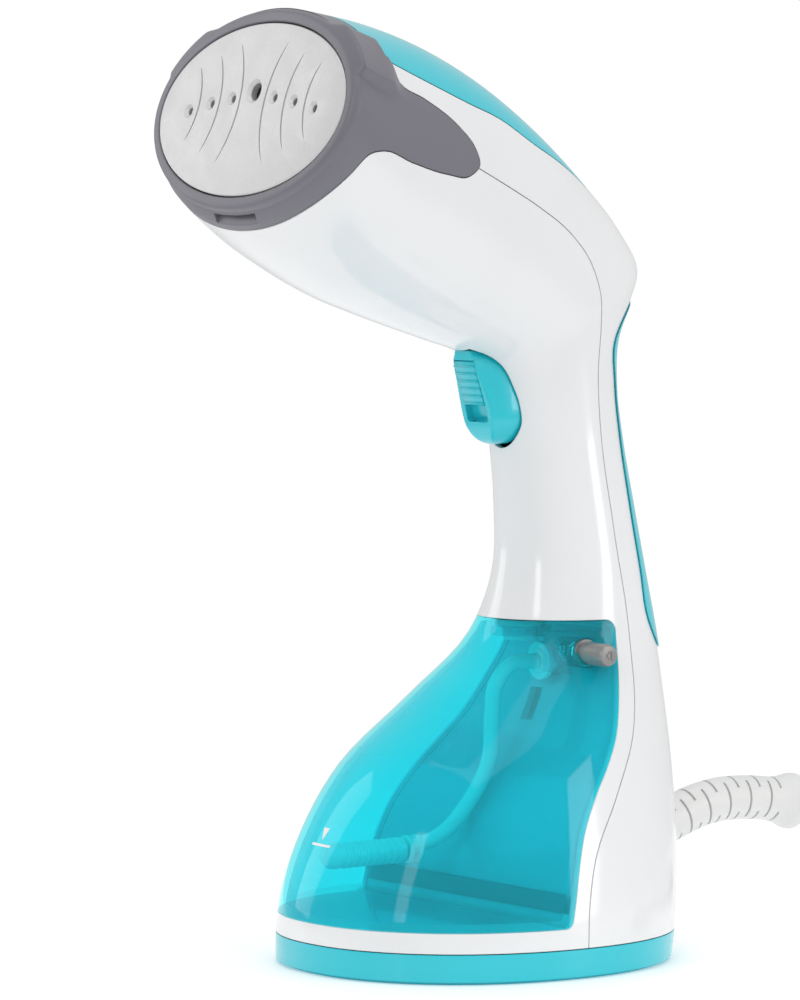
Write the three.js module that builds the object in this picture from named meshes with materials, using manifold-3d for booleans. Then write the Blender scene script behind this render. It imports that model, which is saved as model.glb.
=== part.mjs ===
// Handheld garment steamer: a curved body with a translucent slide-out tank in its foot.
// Millimetres, +Z up. The foot's flat underside is z = 0 with its centre at the origin, the nozzle
// looks towards -Y, and the body is symmetric about X = 0.
import * as THREE from 'three';
import { mergeVertices } from 'three/addons/utils/BufferGeometryUtils.js';
import Module from 'manifold-3d';

const wasm = await Module();
wasm.setup();

// ---- Driving dimensions ----
const BASE_WIDTH = 113.2;
const HANDLE_WIDTH = 39.2;
const HEAD_WIDTH = 107.2;
const WALL = 2.2; // moulded shells
const GAP = 0.3; // between neighbouring pieces
const SEAM = 0.15; // half of a parting line's width

const TRIM_TOP = 9.3; // coloured foot
const FLOOR = 2.5;
const SHELF_TOP = 15.5; // the tank slides over the shelf
const SHELF_THICK = 2.3;
const TANK_TOP = 105.1;
const TANK_WALL = 2.2;

const PLATE = { y: -82.3, z: 261, tilt: 15.8, a: 49, b: 26.8, thick: 3 };
const BEZEL_DEPTH = 5.1;
const LEDGE = 3.5;
const BOILER = { a: 39, b: 20, back: 32 };
const PORT_HOLES = { bore: 5.6, small: 2.4, sink: 4 };

const TRIGGER_HINGE = [12, 184];
const PIN_RADIUS = 1.5;
const LOCK = { half: 5.1, top: 0.2, length: 14.4, depth: 2.3, teeth: 6, rise: 0.7 };
const TRIGGER_GAP = 0.5;
const TRIGGER_DROP = 0.7; // extra room under the trigger, which dips as it turns

const BUTTON = { y: 23.4, z: 95.2, radius: 3.5, end: 38.3, flange: 4.3 };
const BUTTON_WALL = 27; // inner face of the wall that the button passes
const CAP = { y: 18, radius: 7.7, stem: 5.7, thick: 2, depth: 4.6 };
const OUTLET = { z: 91, radius: 4, bore: 2, inner: 24, outer: 42 };
const COUPLING = { y: 36.9, back: 45.5, radius: 8, bore: 6.3 };
const HOSE_RADIUS = 2.6;
const PUMP = { y: 30, radius: 12, low: 10, top: 54 };

const CORD_RADIUS = 3.5;
const BOOT = { radius: 7, bell: 9, flange: 9.5 };
const COIL = { x: 23, y: 212, mean: 42, pitch: 7.2, across: 4, layers: 2 };
const PLUG = { x: 81, z: 7.8, width: 25, height: 15, tip: 104, back: 138, blade: 17 };
const SCREW = { radius: 1.45, head: 3, low: 0.6, headTop: 2.8, top: 12.5 };
const SCREW_PLACES = [[-40, -30], [40, -30], [-40, 34], [40, 34]];
const CLAMP = { y: 48, length: 6, half: 10, top: 39, screw: 7 };

// ---- Body sections ----
// Each row: front point (y, z), back point (y, z), and how far the width has grown from the
// handle's to the foot's (first list) or to the head's (second list).
const FOOT_ROWS = [
  [-61.5, 0, 61.5, 0, 0.992], [-61.5, 9, 62.8, 9, 1], [-60.2, 20, 64, 20, 0.984],
  [-53.3, 40, 64.9, 40, 0.889], [-40.8, 60, 64.9, 60, 0.722], [-17.5, 80, 64.2, 80, 0.47],
  [4.5, 100, 63, 100, 0.214], [11.6, 118, 60.4, 118, 0.073], [12, 140, 56, 140, 0.016],
  [10, 160, 51.8, 160, 0],
];
const HEAD_ROWS = [
  [7.5, 173, 49.3, 177, 0.012], [4, 181.5, 50.2, 192, 0.029], [-1, 186, 55.6, 204, 0.056],
  [-6, 188, 58.4, 213, 0.1], [-13, 190, 50.8, 225.6, 0.159], [-21, 192.4, 35.2, 241.2, 0.247],
  [-32, 195.8, 14.3, 258.3, 0.365], [-44, 199.8, -8.5, 272.6, 0.497],
  [-56, 204.4, -30.2, 282.2, 0.644], [-68, 210.9, -50, 287.8, 0.785],
  [-78, 217.8, -63, 290, 0.9], [-85, 224.4, -70, 291, 0.971], [-90.6, 230.8, -73.6, 291.4, 1],
];
const SQUARENESS = { foot: 0.1, handle: 2.05, head: -0.05 }; // superellipse exponent and changes
const RING_POINTS = 28;

// ---- Seams in side view, (y, z) ----
const PARTING = [
  [-23.1, 242.9], [-10.4, 237.7], [3.2, 231.7], [16.9, 224.1], [26, 215.6], [30.8, 206.4],
  [33, 197.1], [33, 178], [34.9, 157], [38.5, 133], [40.5, 110.7], [38.9, 95.6], [32.9, 74.3],
  [18.8, 53.4], [7.1, 36.1], [2.6, 20], [1.9, 9.5],
];
const TANK_REAR = [
  [35.2, TANK_TOP], [32.3, 91.8], [29.9, 84.4], [24.1, 71.1], [18.4, 63.2], [10.8, 53.9],
  [4.1, 43.1], [0.4, 32.8], [-2.2, 22.3], [-3.9, SHELF_TOP],
];
const RING_EDGE = [
  [-62, 300], [-62, 276.6], [-58.8, 273.4], [-58.5, 270.7], [-57.3, 268.5], [-46.5, 263.8],
  [-31.9, 255.6], [-24.2, 247.2], [-23.8, 243.7], [-28.6, 240.8], [-38.3, 241.5],
  [-54.4, 244.9], [-67.2, 248.3], [-71, 248.4], [-73, 247.6], [-78.5, 241], [-84.4, 229.6],
  [-85.3, 224.8], [-86.5, 210],
];
const COVER_EDGE = [
  [-61.7, 276.3], [-51.6, 272.3], [-41.4, 268.6], [-23.8, 262.7], [-9.5, 258.4], [6.4, 250.7],
  [19.3, 245.3], [27.6, 241.3], [30.5, 238.3], [46, 236.5],
];
const STRIP_EDGE = [
  [62, 206], [48, 199], [41.8, 189.2], [43.5, 176.7], [44.7, 164.3], [48.5, 136.3],
  [50.9, 119.2], [51.2, 103.8], [55.2, 97.3], [68, 92.5],
];
const TRIGGER_SIDE = [
  [-4.6, 187.3], [-4.2, 184.7], [1.3, 167.1], [2.1, 163.4], [4, 160], [7, 158.5], [10.5, 158.8],
  [16, 161.5], [16, 187.3],
];
const TRIGGER_FRONT = [
  [4.9, 188.2], [6.8, 185.3], [8.2, 178], [9, 170], [8.6, 166], [7, 163], [4.5, 160.3],
  [0, 158.3],
];
const STRIP_PROUD = 0.6;
const STRIP_THICK = 1.6;
const EAR = { proud: 3, depth: 20, outline: [[30, 13], [72, 26], [58, 62], [24, 30]] };
const NOZZLE_SLOT = { half: 11, front: 3, back: 6.5, floor: -29.6 };

// ---- Routes ----
const BOOT_ROUTE = [
  [0, 61, 34], [0, 66, 35], [0, 76, 37.8], [0, 86, 41.2], [0, 96, 43], [0, 107, 43],
  [0, 118, 41.8], [0, 127, 40.4],
];
const LEAD_ROUTE = [
  [0, 121, 41.3], [0, 127, 40.4], [-0.3, 134, 38.6], [-1.6, 142, 34.6], [-4, 150, 29.4],
  [-7.6, 158, 24.2], [-11.8, 166, 19.6], [-13.4, 169, 18.2],
];
const TAIL_ROUTE = [
  [77.5, 185.5, 3.7], [78.6, 176, 3.9], [80, 164, 5.6], [80.8, 155, 7.4], [81, 149.5, 7.8],
  [81, 143, 7.8],
];
const SUCTION_ROUTE = [
  [0, 23.6, 91], [0, 14, 90.2], [-0.6, 8.6, 84], [-1, 7.6, 75], [-2, 7.2, 61], [-4, 1, 48],
  [-7, -8, 38], [-10, -18.4, 34.2],
];
const FILTER = { from: [-10.3, -19.2, 34], to: [-12.5, -48.5, 33.3], radius: 4 };
const OUTLET_HOSE = [
  [7, 26, 58.6], [7.2, 26.4, 62], [9, 28.5, 67], [12, 34, 76], [12.8, 40, 88], [12, 42.5, 106], [9.5, 39, 140],
  [9, 36, 165], [8, 31, 195], [6, 12, 220], [3, -12, 238], [0.6, -30, 246.1], [0, -42, 249.5],
];
const INLET_HOSE = [[0, 41.2, 76.4], [0, 41, 71], [0, 36.5, 66], [0, 34.1, 62], [0, 34, 58.6]];
const HARNESS = [
  [-8, 52, 99], [-9, 49, 108], [-9, 44, 130], [-9, 37, 165], [-8, 32, 195], [-6, 12, 220],
  [-8, -14, 238], [-9, -34, 247],
];
const MAINS_WIRES = [[0, 44.2, 33], [0, 44.3, 41], [0, 45.8, 50], [0, 49, 57.5]];

// ---- Shape helpers ----
const X = new THREE.Vector3(1, 0, 0);
const Y = new THREE.Vector3(0, 1, 0);
const Z = new THREE.Vector3(0, 0, 1);
const FAR = 150;

/** A manifold solid of a three.js geometry's welded triangles. */
function solidOf(geometry) {
  const bare = geometry.clone();
  for (const name of Object.keys(bare.attributes)) {
    if (name !== 'position') bare.deleteAttribute(name);
  }
  const { index, attributes } = mergeVertices(bare, 1e-4);
  const p = attributes.position.array;
  const tris = [];
  let volume = 0;
  for (let i = 0; i < index.count; i += 3) {
    const [a, b, c] = [0, 1, 2].map((k) => index.getX(i + k));
    if (a === b || b === c || c === a) continue;
    tris.push(a, b, c);
    const [u, v, w] = [a, b, c].map((k) => new THREE.Vector3().fromArray(p, 3 * k));
    volume += u.dot(v.cross(w));
  }
  if (volume < 0) tris.reverse();
  const mesh = { numProp: 3, vertProperties: new Float32Array(p), triVerts: new Uint32Array(tris) };
  return new wasm.Manifold(new wasm.Mesh(mesh));
}

function geometryOf(solid) {
  const mesh = solid.getMesh();
  const geometry = new THREE.BufferGeometry();
  geometry.setAttribute('position', new THREE.BufferAttribute(mesh.vertProperties, 3));
  geometry.setIndex(new THREE.BufferAttribute(mesh.triVerts, 1));
  geometry.computeVertexNormals();
  return geometry;
}

const join = (...solids) => solids.reduce((a, b) => a.add(b));
const cut = (solid, ...tools) => tools.reduce((a, b) => a.subtract(b), solid);
const common = (...solids) => solids.reduce((a, b) => a.intersect(b));

function extruded(outline, depth, matrix) {
  const shape = new THREE.Shape(outline.map(([u, v]) => new THREE.Vector2(u, v)));
  const geometry = new THREE.ExtrudeGeometry(shape, { depth, bevelEnabled: false });
  return solidOf(geometry.applyMatrix4(matrix));
}

/** A (y, z) outline carried along X. */
const prismX = (outline, from = -FAR, to = FAR) => extruded(
  outline, to - from, new THREE.Matrix4().makeBasis(Y, Z, X).setPosition(from, 0, 0));

/** An (x, z) outline carried along Y. */
const prismY = (outline, from, to) => extruded(
  outline, to - from,
  new THREE.Matrix4().makeBasis(X, Z, Y.clone().negate()).setPosition(0, to, 0));

function box(x0, x1, y0, y1, z0, z1) {
  const geometry = new THREE.BoxGeometry(x1 - x0, y1 - y0, z1 - z0);
  return solidOf(geometry.translate((x0 + x1) / 2, (y0 + y1) / 2, (z0 + z1) / 2));
}

/** A turned solid: (radius, along) points round the line from origin along axis. */
function turned(profile, origin, axis, sides = 16) {
  const points = profile.map(([r, s]) => new THREE.Vector2(r, s));
  const geometry = new THREE.LatheGeometry(points, sides);
  geometry.applyQuaternion(new THREE.Quaternion().setFromUnitVectors(Y, axis));
  return solidOf(geometry.translate(...origin));
}

function rod(from, to, radius, sides = 14) {
  const [a, b] = [from, to].map((p) => new THREE.Vector3(...p));
  const axis = b.clone().sub(a);
  const length = axis.length();
  const profile = [[0, 0], [radius, 0], [radius, length], [0, length]];
  return turned(profile, from, axis.normalize(), sides);
}

/** A round tube along a smooth route. */
function tube(route, radius, steps, sides = 10) {
  const curve = new THREE.CatmullRomCurve3(route.map((p) => new THREE.Vector3(...p)));
  const shape = new THREE.Shape();
  for (let i = 0; i < sides; i += 1) {
    const turn = (2 * Math.PI * i) / sides;
    const at = [radius * Math.cos(turn), radius * Math.sin(turn)];
    if (i) shape.lineTo(...at);
    else shape.moveTo(...at);
  }
  return solidOf(new THREE.ExtrudeGeometry(shape, { extrudePath: curve, steps }));
}

/** An outline moved outwards by d, or inwards when d is negative. */
function offset(outline, d) {
  const n = outline.length;
  const area = outline.reduce((sum, [y, z], i) => {
    const [v, w] = outline[(i + 1) % n];
    return sum + y * w - z * v;
  }, 0);
  const way = Math.sign(area) * d;
  const normal = (i) => {
    const [a, b] = [outline[(i + n) % n], outline[(i + 1) % n]];
    const length = Math.hypot(b[0] - a[0], b[1] - a[1]);
    return [(b[1] - a[1]) / length, (a[0] - b[0]) / length];
  };
  return outline.map(([y, z], i) => {
    const [p, q] = [normal(i - 1), normal(i)];
    const scale = way / (1 + p[0] * q[0] + p[1] * q[1]);
    return [y + (p[0] + q[0]) * scale, z + (p[1] + q[1]) * scale];
  });
}

/** Points on a smooth curve through an outline's points. */
const smooth = (points, count) => new THREE.SplineCurve(
  points.map(([y, z]) => new THREE.Vector2(y, z))).getPoints(count).map((p) => [p.x, p.y]);

// ---- Body envelope ----
function bodyRows() {
  const widen = (rows, width, change) => rows.map(([yF, zF, yB, zB, share]) => [
    yF, zF, yB, zB, (HANDLE_WIDTH + share * (width - HANDLE_WIDTH)) / 2,
    SQUARENESS.handle + share * change,
  ]);
  return [
    ...widen(FOOT_ROWS, BASE_WIDTH, SQUARENESS.foot),
    ...widen(HEAD_ROWS, HEAD_WIDTH, SQUARENESS.head),
  ];
}

/** The body's outer form, with every section grown by grow. */
function envelope(grow = 0) {
  const rings = bodyRows().map(([yF, zF, yB, zB, half, power]) => {
    const centre = [0, (yF + yB) / 2, (zF + zB) / 2];
    const reach = Math.hypot(yB - yF, zB - zF) / 2;
    const wide = half + grow;
    const deep = (reach + grow) / reach / 2;
    return Array.from({ length: RING_POINTS }, (_, i) => {
      const turn = (2 * Math.PI * i) / RING_POINTS;
      const [c, s] = [Math.cos(turn), Math.sin(turn)].map(
        (v) => (Math.abs(v) < 1e-9 ? 0 : Math.sign(v) * Math.abs(v) ** (2 / power)));
      return [wide * c, centre[1] + s * deep * (yB - yF), centre[2] + s * deep * (zB - zF)];
    });
  });
  const middle = (ring) => [0, 1, 2].map(
    (k) => ring.reduce((sum, p) => sum + p[k], 0) / RING_POINTS);
  const points = [...rings.flat(), middle(rings[0]), middle(rings.at(-1))];
  const last = (rings.length - 1) * RING_POINTS;
  const index = [];
  for (let j = 0; j < RING_POINTS; j += 1) {
    const k = (j + 1) % RING_POINTS;
    for (let a = 0; a < last; a += RING_POINTS) {
      const b = a + RING_POINTS;
      index.push(a + j, a + k, b + j, a + k, b + k, b + j);
    }
    index.push(last + RING_POINTS, k, j, last + RING_POINTS + 1, last + j, last + k);
  }
  const geometry = new THREE.BufferGeometry();
  geometry.setAttribute('position', new THREE.Float32BufferAttribute(points.flat(), 3));
  return solidOf(geometry.setIndex(index));
}

const OUTER = envelope();
const INNER = envelope(-WALL);
const LINER = envelope(-WALL - GAP);
const SHELL = cut(OUTER, INNER);

// ---- Regions between the seams ----
const frontRegion = (d) => prismX(offset([
  ...smooth(PARTING, 26), [1.9, -20], [-130, -20], [-130, 262], [-80, 262], [-60, 258],
  [-40, 249],
], d));
const tankRegion = (d) => prismX(offset([...TANK_REAR, [-110, SHELF_TOP], [-110, TANK_TOP]], d));
const ringRegion = (d) => prismX(offset([...RING_EDGE, [-130, 210], [-130, 300]], d));
const coverRegion = (d) => prismX(offset([...COVER_EDGE, [80, 260], [80, 310], [-61.7, 310]], d));
const stripRegion = (d) => prismX(offset([...STRIP_EDGE, [90, 92.5], [90, 206]], d));
const above = (z) => box(-FAR, FAR, -FAR, FAR, z, 400);
const below = (z) => box(-FAR, FAR, -FAR, FAR, -50, z);

// ---- Steam plate's frame: x across, up along the plate, depth behind its face ----
const TILT = THREE.MathUtils.degToRad(PLATE.tilt);
const PLATE_UP = new THREE.Vector3(0, Math.sin(TILT), Math.cos(TILT));
const PLATE_OUT = new THREE.Vector3(0, -Math.cos(TILT), Math.sin(TILT));
const onPlate = (x, up, depth) => [
  x, PLATE.y + up * PLATE_UP.y - depth * PLATE_OUT.y, PLATE.z + up * PLATE_UP.z
    - depth * PLATE_OUT.z,
];
const platePrism = (outline, front, back) => extruded(
  outline, back - front,
  new THREE.Matrix4().makeBasis(X, PLATE_UP, PLATE_OUT).setPosition(...onPlate(0, 0, back)));
const oval = (a, b, sides = 40) => Array.from({ length: sides }, (_, i) => {
  const turn = (2 * Math.PI * i) / sides;
  return [a * Math.cos(turn), b * Math.sin(turn)];
});
const slab = (half, low, high) => [[-half, low], [half, low], [half, high], [-half, high]];
const mirrored = (outline) => outline.map(([x, v]) => [-x, v]).reverse();

// ---- Trigger's face frame: s down the face, m out of it ----
const FACE_DOWN = new THREE.Vector2(5.5, -17.6).normalize();
const onFace = (s, m) => [
  TRIGGER_SIDE[1][0] + s * FACE_DOWN.x + m * FACE_DOWN.y,
  TRIGGER_SIDE[1][1] + s * FACE_DOWN.y - m * FACE_DOWN.x,
];
const triggerFront = (d) => offset([...TRIGGER_FRONT, ...mirrored(TRIGGER_FRONT.slice(0, -1))], d);

// ---- Body shells ----
function baseTrim() {
  const tray = cut(common(OUTER, below(TRIM_TOP - SEAM)), common(INNER, above(FLOOR)));
  const bosses = SCREW_PLACES.map(([x, y]) => rod([x, y, 1], [x, y, TRIM_TOP - SEAM], 5));
  const post = cut(
    box(-CLAMP.half, CLAMP.half, CLAMP.y, CLAMP.y + CLAMP.length, 1, leadHeight - SEAM),
    leadClearance(), ...clampScrewHoles());
  const holes = SCREW_PLACES.flatMap(([x, y]) => [
    rod([x, y, -1], [x, y, 20], SCREW.radius + GAP),
    rod([x, y, -1], [x, y, SCREW.headTop + GAP], SCREW.head + GAP),
  ]);
  return cut(join(tray, ...bosses, post), ...holes);
}

const screwHoles = () => SCREW_PLACES.map(
  ([x, y]) => rod([x, y, 0], [x, y, SCREW.top + GAP], SCREW.radius + GAP));

function frontShell() {
  const wall = common(cut(SHELL, ringRegion(SEAM)), frontRegion(-SEAM), above(TRIM_TOP + SEAM));
  const shelf = common(OUTER, box(-FAR, FAR, -FAR, -3.9, SHELF_TOP - SHELF_THICK, SHELF_TOP));
  const bosses = SCREW_PLACES.filter(([, y]) => y < 0).map(
    ([x, y]) => rod([x, y, TRIM_TOP + SEAM], [x, y, SHELF_TOP - 1], 4.5));
  const [hy, hz] = TRIGGER_HINGE;
  const lugs = common(OUTER, join(
    box(-30, -10, hy - 3.5, hy + 3.5, hz - 3.5, hz + 3.5),
    box(10, 30, hy - 3.5, hy + 3.5, hz - 3.5, hz + 3.5)));
  const opening = prismY(triggerFront(TRIGGER_GAP), -5.6, 17);
  return cut(
    join(cut(wall, tankRegion(0)), shelf, ...bosses, lugs),
    opening, opening.translate([0, 0, -TRIGGER_DROP]),
    rod([-13 - GAP, hy, hz], [13 + GAP, hy, hz], PIN_RADIUS + GAP), ...screwHoles());
}

function rearShell() {
  const wall = cut(
    common(SHELL, above(TRIM_TOP + SEAM)), frontRegion(SEAM), ringRegion(SEAM),
    coverRegion(SEAM));
  const bosses = SCREW_PLACES.filter(([, y]) => y > 0).map(([x, y]) => common(
    OUTER, box(Math.min(x - 4, 2 * x), Math.max(x + 4, 2 * x), y - 4, y + 4,
      TRIM_TOP + SEAM, SCREW.top + 6)));
  const pocket = cut(stripRegion(GAP), envelope(STRIP_PROUD - STRIP_THICK - GAP));
  const [, y, z] = BOOT_ROUTE[0];
  const grommet = rod([0, y - 4, z - 0.8], [0, y + 10, z + 2], BOOT.radius + GAP);
  return cut(join(wall, ...bosses), pocket, grommet, ...screwHoles());
}

const topCover = () => common(cut(SHELL, ringRegion(SEAM)), coverRegion(-SEAM));
const backStrip = () => cut(
  common(envelope(STRIP_PROUD), stripRegion(0)), envelope(STRIP_PROUD - STRIP_THICK));

// ---- Nozzle ----
function nozzleRing() {
  const hollow = common(INNER, platePrism(slab(FAR, -FAR, FAR), BEZEL_DEPTH + 2, FAR));
  const wall = common(cut(OUTER, hollow), ringRegion(-SEAM));
  const proud = cut(envelope(EAR.proud), INNER);
  const ears = [EAR.outline, mirrored(EAR.outline)].map(
    (outline) => common(proud, platePrism(outline, 1, EAR.depth), ringRegion(-SEAM - EAR.proud)));
  const { half, front, back, floor } = NOZZLE_SLOT;
  return cut(
    join(wall, ...ears),
    platePrism(oval(PLATE.a + GAP, PLATE.b + GAP), -5, BEZEL_DEPTH),
    platePrism(oval(PLATE.a - LEDGE, PLATE.b - LEDGE), BEZEL_DEPTH - 1, BEZEL_DEPTH + 4),
    platePrism(slab(half, floor - 9, floor), front, back));
}

function steamPlate() {
  const { bore, small, sink } = PORT_HOLES;
  const hole = (x, up, width, deep) => platePrism(
    oval(width / 2, width / 2, 10).map(([u, v]) => [x + u, up + v]), -1, deep);
  const sides = [[11.2, 3.45], [22.3, 2.1], [33.5, -0.1]];
  const holes = sides.flatMap(([x, up]) => [-x, x].flatMap((at) => [
    hole(at, up, small, PLATE.thick + 1), hole(at, up, sink, 0.6)]));
  return cut(
    platePrism(oval(PLATE.a, PLATE.b), 0, PLATE.thick),
    hole(0, 5.6, bore, PLATE.thick + 1), ...holes);
}

const plateGasket = () => cut(
  platePrism(oval(PLATE.a - GAP, PLATE.b - GAP), PLATE.thick + GAP, BEZEL_DEPTH - GAP),
  platePrism(oval(PLATE.a - 5, PLATE.b - 5), 0, 20));

function boiler() {
  const { a, b, back } = BOILER;
  const neck = LEDGE + 5.5;
  return join(
    platePrism(oval(PLATE.a - neck, PLATE.b - neck), PLATE.thick + GAP, BEZEL_DEPTH + 6),
    platePrism(oval(a, b), BEZEL_DEPTH + 4, back),
    rod(onPlate(0, 0, back - 2), onPlate(0, 0, back + 9), 3));
}

const heatingElement = () => tube(
  [[-26, -8], [-5, -8], [16, -8], [24, -4.5], [24, 4.5], [16, 8], [-5, 8], [-26, 8]].map(
    ([x, up]) => onPlate(x, up, BOILER.back + 3 + GAP)), 3, 20, 8);
const thermostat = () => rod(
  onPlate(-14, BOILER.b + GAP, 20), onPlate(-14, BOILER.b + 6, 20), 7);
const thermalFuse = () => rod(
  onPlate(4, -BOILER.b - 2.4, 20), onPlate(18, -BOILER.b - 2.4, 20), 2);

// ---- Trigger ----
function trigger() {
  const [hy, hz] = TRIGGER_HINGE;
  const channel = [[-6, -LOCK.depth - GAP], [20, -LOCK.depth - GAP], [20, 6], [-6, 6]];
  return cut(
    common(prismX(TRIGGER_SIDE), prismY(triggerFront(0), -10, 20)),
    prismX(channel.map(([s, m]) => onFace(s, m)), -LOCK.half - GAP, LOCK.half + GAP),
    rod([-20, hy, hz], [20, hy, hz], PIN_RADIUS + GAP));
}

function triggerLock() {
  const pitch = LOCK.length / LOCK.teeth;
  const teeth = Array.from({ length: LOCK.teeth }, (_, i) => [
    [LOCK.top + i * pitch, 0], [LOCK.top + (i + 0.3) * pitch, LOCK.rise],
    [LOCK.top + (i + 0.7) * pitch, LOCK.rise]]).flat();
  const bottom = LOCK.top + LOCK.length;
  const outline = [...teeth, [bottom, 0], [bottom, -LOCK.depth], [LOCK.top, -LOCK.depth]];
  return prismX(outline.map(([s, m]) => onFace(s, m)), -LOCK.half, LOCK.half);
}

const triggerPin = () => rod(
  [-13, ...TRIGGER_HINGE], [13, ...TRIGGER_HINGE], PIN_RADIUS);

/** A compression spring from start along axis. */
function spring(start, axis, length, radius, wire, coils) {
  const side = Math.abs(axis.z) > 0.5 ? X : Z;
  const other = axis.clone().cross(side);
  const steps = coils * 7;
  const route = Array.from({ length: steps + 1 }, (_, i) => {
    const turn = (2 * Math.PI * i) / 7;
    return new THREE.Vector3(...start)
      .addScaledVector(axis, wire + ((length - 2 * wire) * i) / steps)
      .addScaledVector(side, radius * Math.cos(turn))
      .addScaledVector(other, radius * Math.sin(turn)).toArray();
  });
  return tube(route, wire, steps, 4);
}

const microswitch = () => join(
  box(-5, 5, 24.5, 31, 157, 169), box(-2, 2, 22.5, 25, 160.5, 162.5));

// ---- Tank ----
function tankShell() {
  const hollow = join(
    common(INNER, tankRegion(-GAP - TANK_WALL)),
    cut(common(INNER, box(-FAR, FAR, -4, 60, SHELF_TOP + GAP + TANK_WALL,
      TANK_TOP - GAP - TANK_WALL)), tankRegion(-GAP - TANK_WALL - 1)));
  const housing = common(
    OUTER, tankRegion(-2 * GAP - TANK_WALL),
    box(13, 45, BUTTON.y - 6.4, BUTTON.y + 6.6, BUTTON.z - 6.2, BUTTON.z + 6.2));
  const bore = turned([
    [0, 15.2], [BUTTON.flange + GAP, 15.2], [BUTTON.flange + GAP, BUTTON_WALL],
    [BUTTON.radius + GAP, BUTTON_WALL], [BUTTON.radius + GAP, 50], [0, 50],
  ], [0, BUTTON.y, BUTTON.z], X);
  const mouth = turned([
    [0, -20], [CAP.stem + GAP, -20], [CAP.stem + GAP, -CAP.thick - 2 * GAP],
    [CAP.radius + GAP, -CAP.thick - 2 * GAP], [CAP.radius + GAP, 5], [0, 5],
  ], [0, CAP.y, TANK_TOP - GAP], Z);
  const collar = rod(
    [0, CAP.y, TANK_TOP - 5.6], [0, CAP.y, TANK_TOP - 1], CAP.radius + 1.6);
  const body = cut(common(OUTER, tankRegion(-GAP)), hollow);
  return cut(join(body, common(collar, OUTER), housing), mouth, bore);
}

function tankBack() {
  const low = SHELF_TOP + 2 * GAP + TANK_WALL;
  const high = TANK_TOP - 2 * GAP - TANK_WALL;
  return cut(
    common(LINER, cut(tankRegion(-GAP), tankRegion(-GAP - TANK_WALL)),
      box(-FAR, FAR, -3.2, 60, low, high)),
    rod([0, 20, OUTLET.z], [0, 50, OUTLET.z], OUTLET.radius + GAP));
}

const tankOutlet = () => turned([
  [OUTLET.bore, 0], [OUTLET.radius, 0], [OUTLET.radius, 0.6], [6, 0.6], [6, 2.6],
  [OUTLET.radius, 2.6], [OUTLET.radius, OUTLET.outer - OUTLET.inner],
  [OUTLET.bore, OUTLET.outer - OUTLET.inner], [OUTLET.bore, 0],
], [0, OUTLET.inner, OUTLET.z], Y);

function fillCap() {
  const finger = 3;
  return turned([
    [0, -CAP.thick - CAP.depth], [CAP.stem - 0.8, -CAP.thick - CAP.depth],
    [CAP.stem, -CAP.thick - CAP.depth + 1.2], [CAP.stem, -CAP.thick], [CAP.radius, -CAP.thick],
    [CAP.radius, 0], [finger, 0], [finger - 0.6, -1], [0, -1],
  ], [0, CAP.y, TANK_TOP - 2 * GAP], Z);
}

const releaseButton = () => turned([
  [0, BUTTON_WALL - GAP - 1.5], [BUTTON.flange, BUTTON_WALL - GAP - 1.5],
  [BUTTON.flange, BUTTON_WALL - GAP], [BUTTON.radius, BUTTON_WALL - GAP],
  [BUTTON.radius, BUTTON.end - 1.2], [BUTTON.radius - 0.4, BUTTON.end - 0.4],
  [BUTTON.radius - 1.2, BUTTON.end], [0, BUTTON.end],
], [0, BUTTON.y, BUTTON.z], X);

const buttonSpring = () => spring(
  [15.4, BUTTON.y, BUTTON.z], X, BUTTON_WALL - GAP - 1.7 - 15.4, 2.8, 0.45, 4);

function tankBay() {
  const lining = common(
    LINER, cut(tankRegion(WALL + GAP), tankRegion(GAP)), box(-FAR, FAR, -3.2, 80, 12, 130));
  const pass = rod([0, 25, OUTLET.z], [0, 50, OUTLET.z], OUTLET.radius + 2 * GAP);
  const lift = rod([0, CAP.y, 100], [0, CAP.y, 115], CAP.radius + 3 * GAP);
  return cut(lining, pass, lift);
}

function tankCoupling() {
  const { y, back, radius, bore } = COUPLING;
  const cup = turned([
    [bore, 0], [radius, 0], [radius, back - y], [0, back - y], [0, back - y - 1.6],
    [bore, back - y - 1.6], [bore, 0],
  ], [0, y, OUTLET.z], Y);
  const hoseY = (y + back) / 2;
  const spout = rod([0, hoseY, OUTLET.z - bore - 0.8], [0, hoseY, OUTLET.z - radius - 6], 2.4);
  return join(cup, spout);
}

const couplingSeal = () => turned([
  [OUTLET.radius + GAP, 0], [COUPLING.bore - GAP, 0], [COUPLING.bore - GAP, 2],
  [OUTLET.radius + GAP, 2], [OUTLET.radius + GAP, 0],
], [0, COUPLING.y + 0.8, OUTLET.z], Y);

const suctionFilter = () => rod(FILTER.from, FILTER.to, FILTER.radius);

// ---- Water and wiring ----
function pump() {
  const { y, radius, low, top } = PUMP;
  return join(
    turned([
      [0, low], [radius - 2, low], [radius, low + 2], [radius, 30], [radius - 1.5, 31],
      [radius - 1.5, 36], [radius, 37], [radius, top - 1], [radius - 1, top], [0, top],
    ], [0, y, 0], Z),
    rod([0, y + 4, top - 1], [0, y + 4, top + 4], 2.2),
    rod([7, y - 4, top - 1], [7, y - 4, top + 4], 2.2));
}

const controlBoard = () => join(
  box(-12, 12, 53.4, 55, 60, 95), box(-11, -1, 49.4, 53.8, 78, 90), box(2, 11, 50, 53.8, 66, 78),
  rod([6, 49.8, 86], [6, 53.8, 86], 3.4), box(-10, -3, 50.6, 53.8, 64, 72));

// ---- Cord ----
const leadHeight = 33;
const leadClearance = () => rod(
  [0, 40, leadHeight], [0, 58, leadHeight], CORD_RADIUS + GAP);
const clampScrewHoles = () => [-1, 1].map((side) => rod(
  [side * CLAMP.screw, CLAMP.y + CLAMP.length / 2, 24],
  [side * CLAMP.screw, CLAMP.y + CLAMP.length / 2, 60], 1.3 + GAP, 12));

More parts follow.
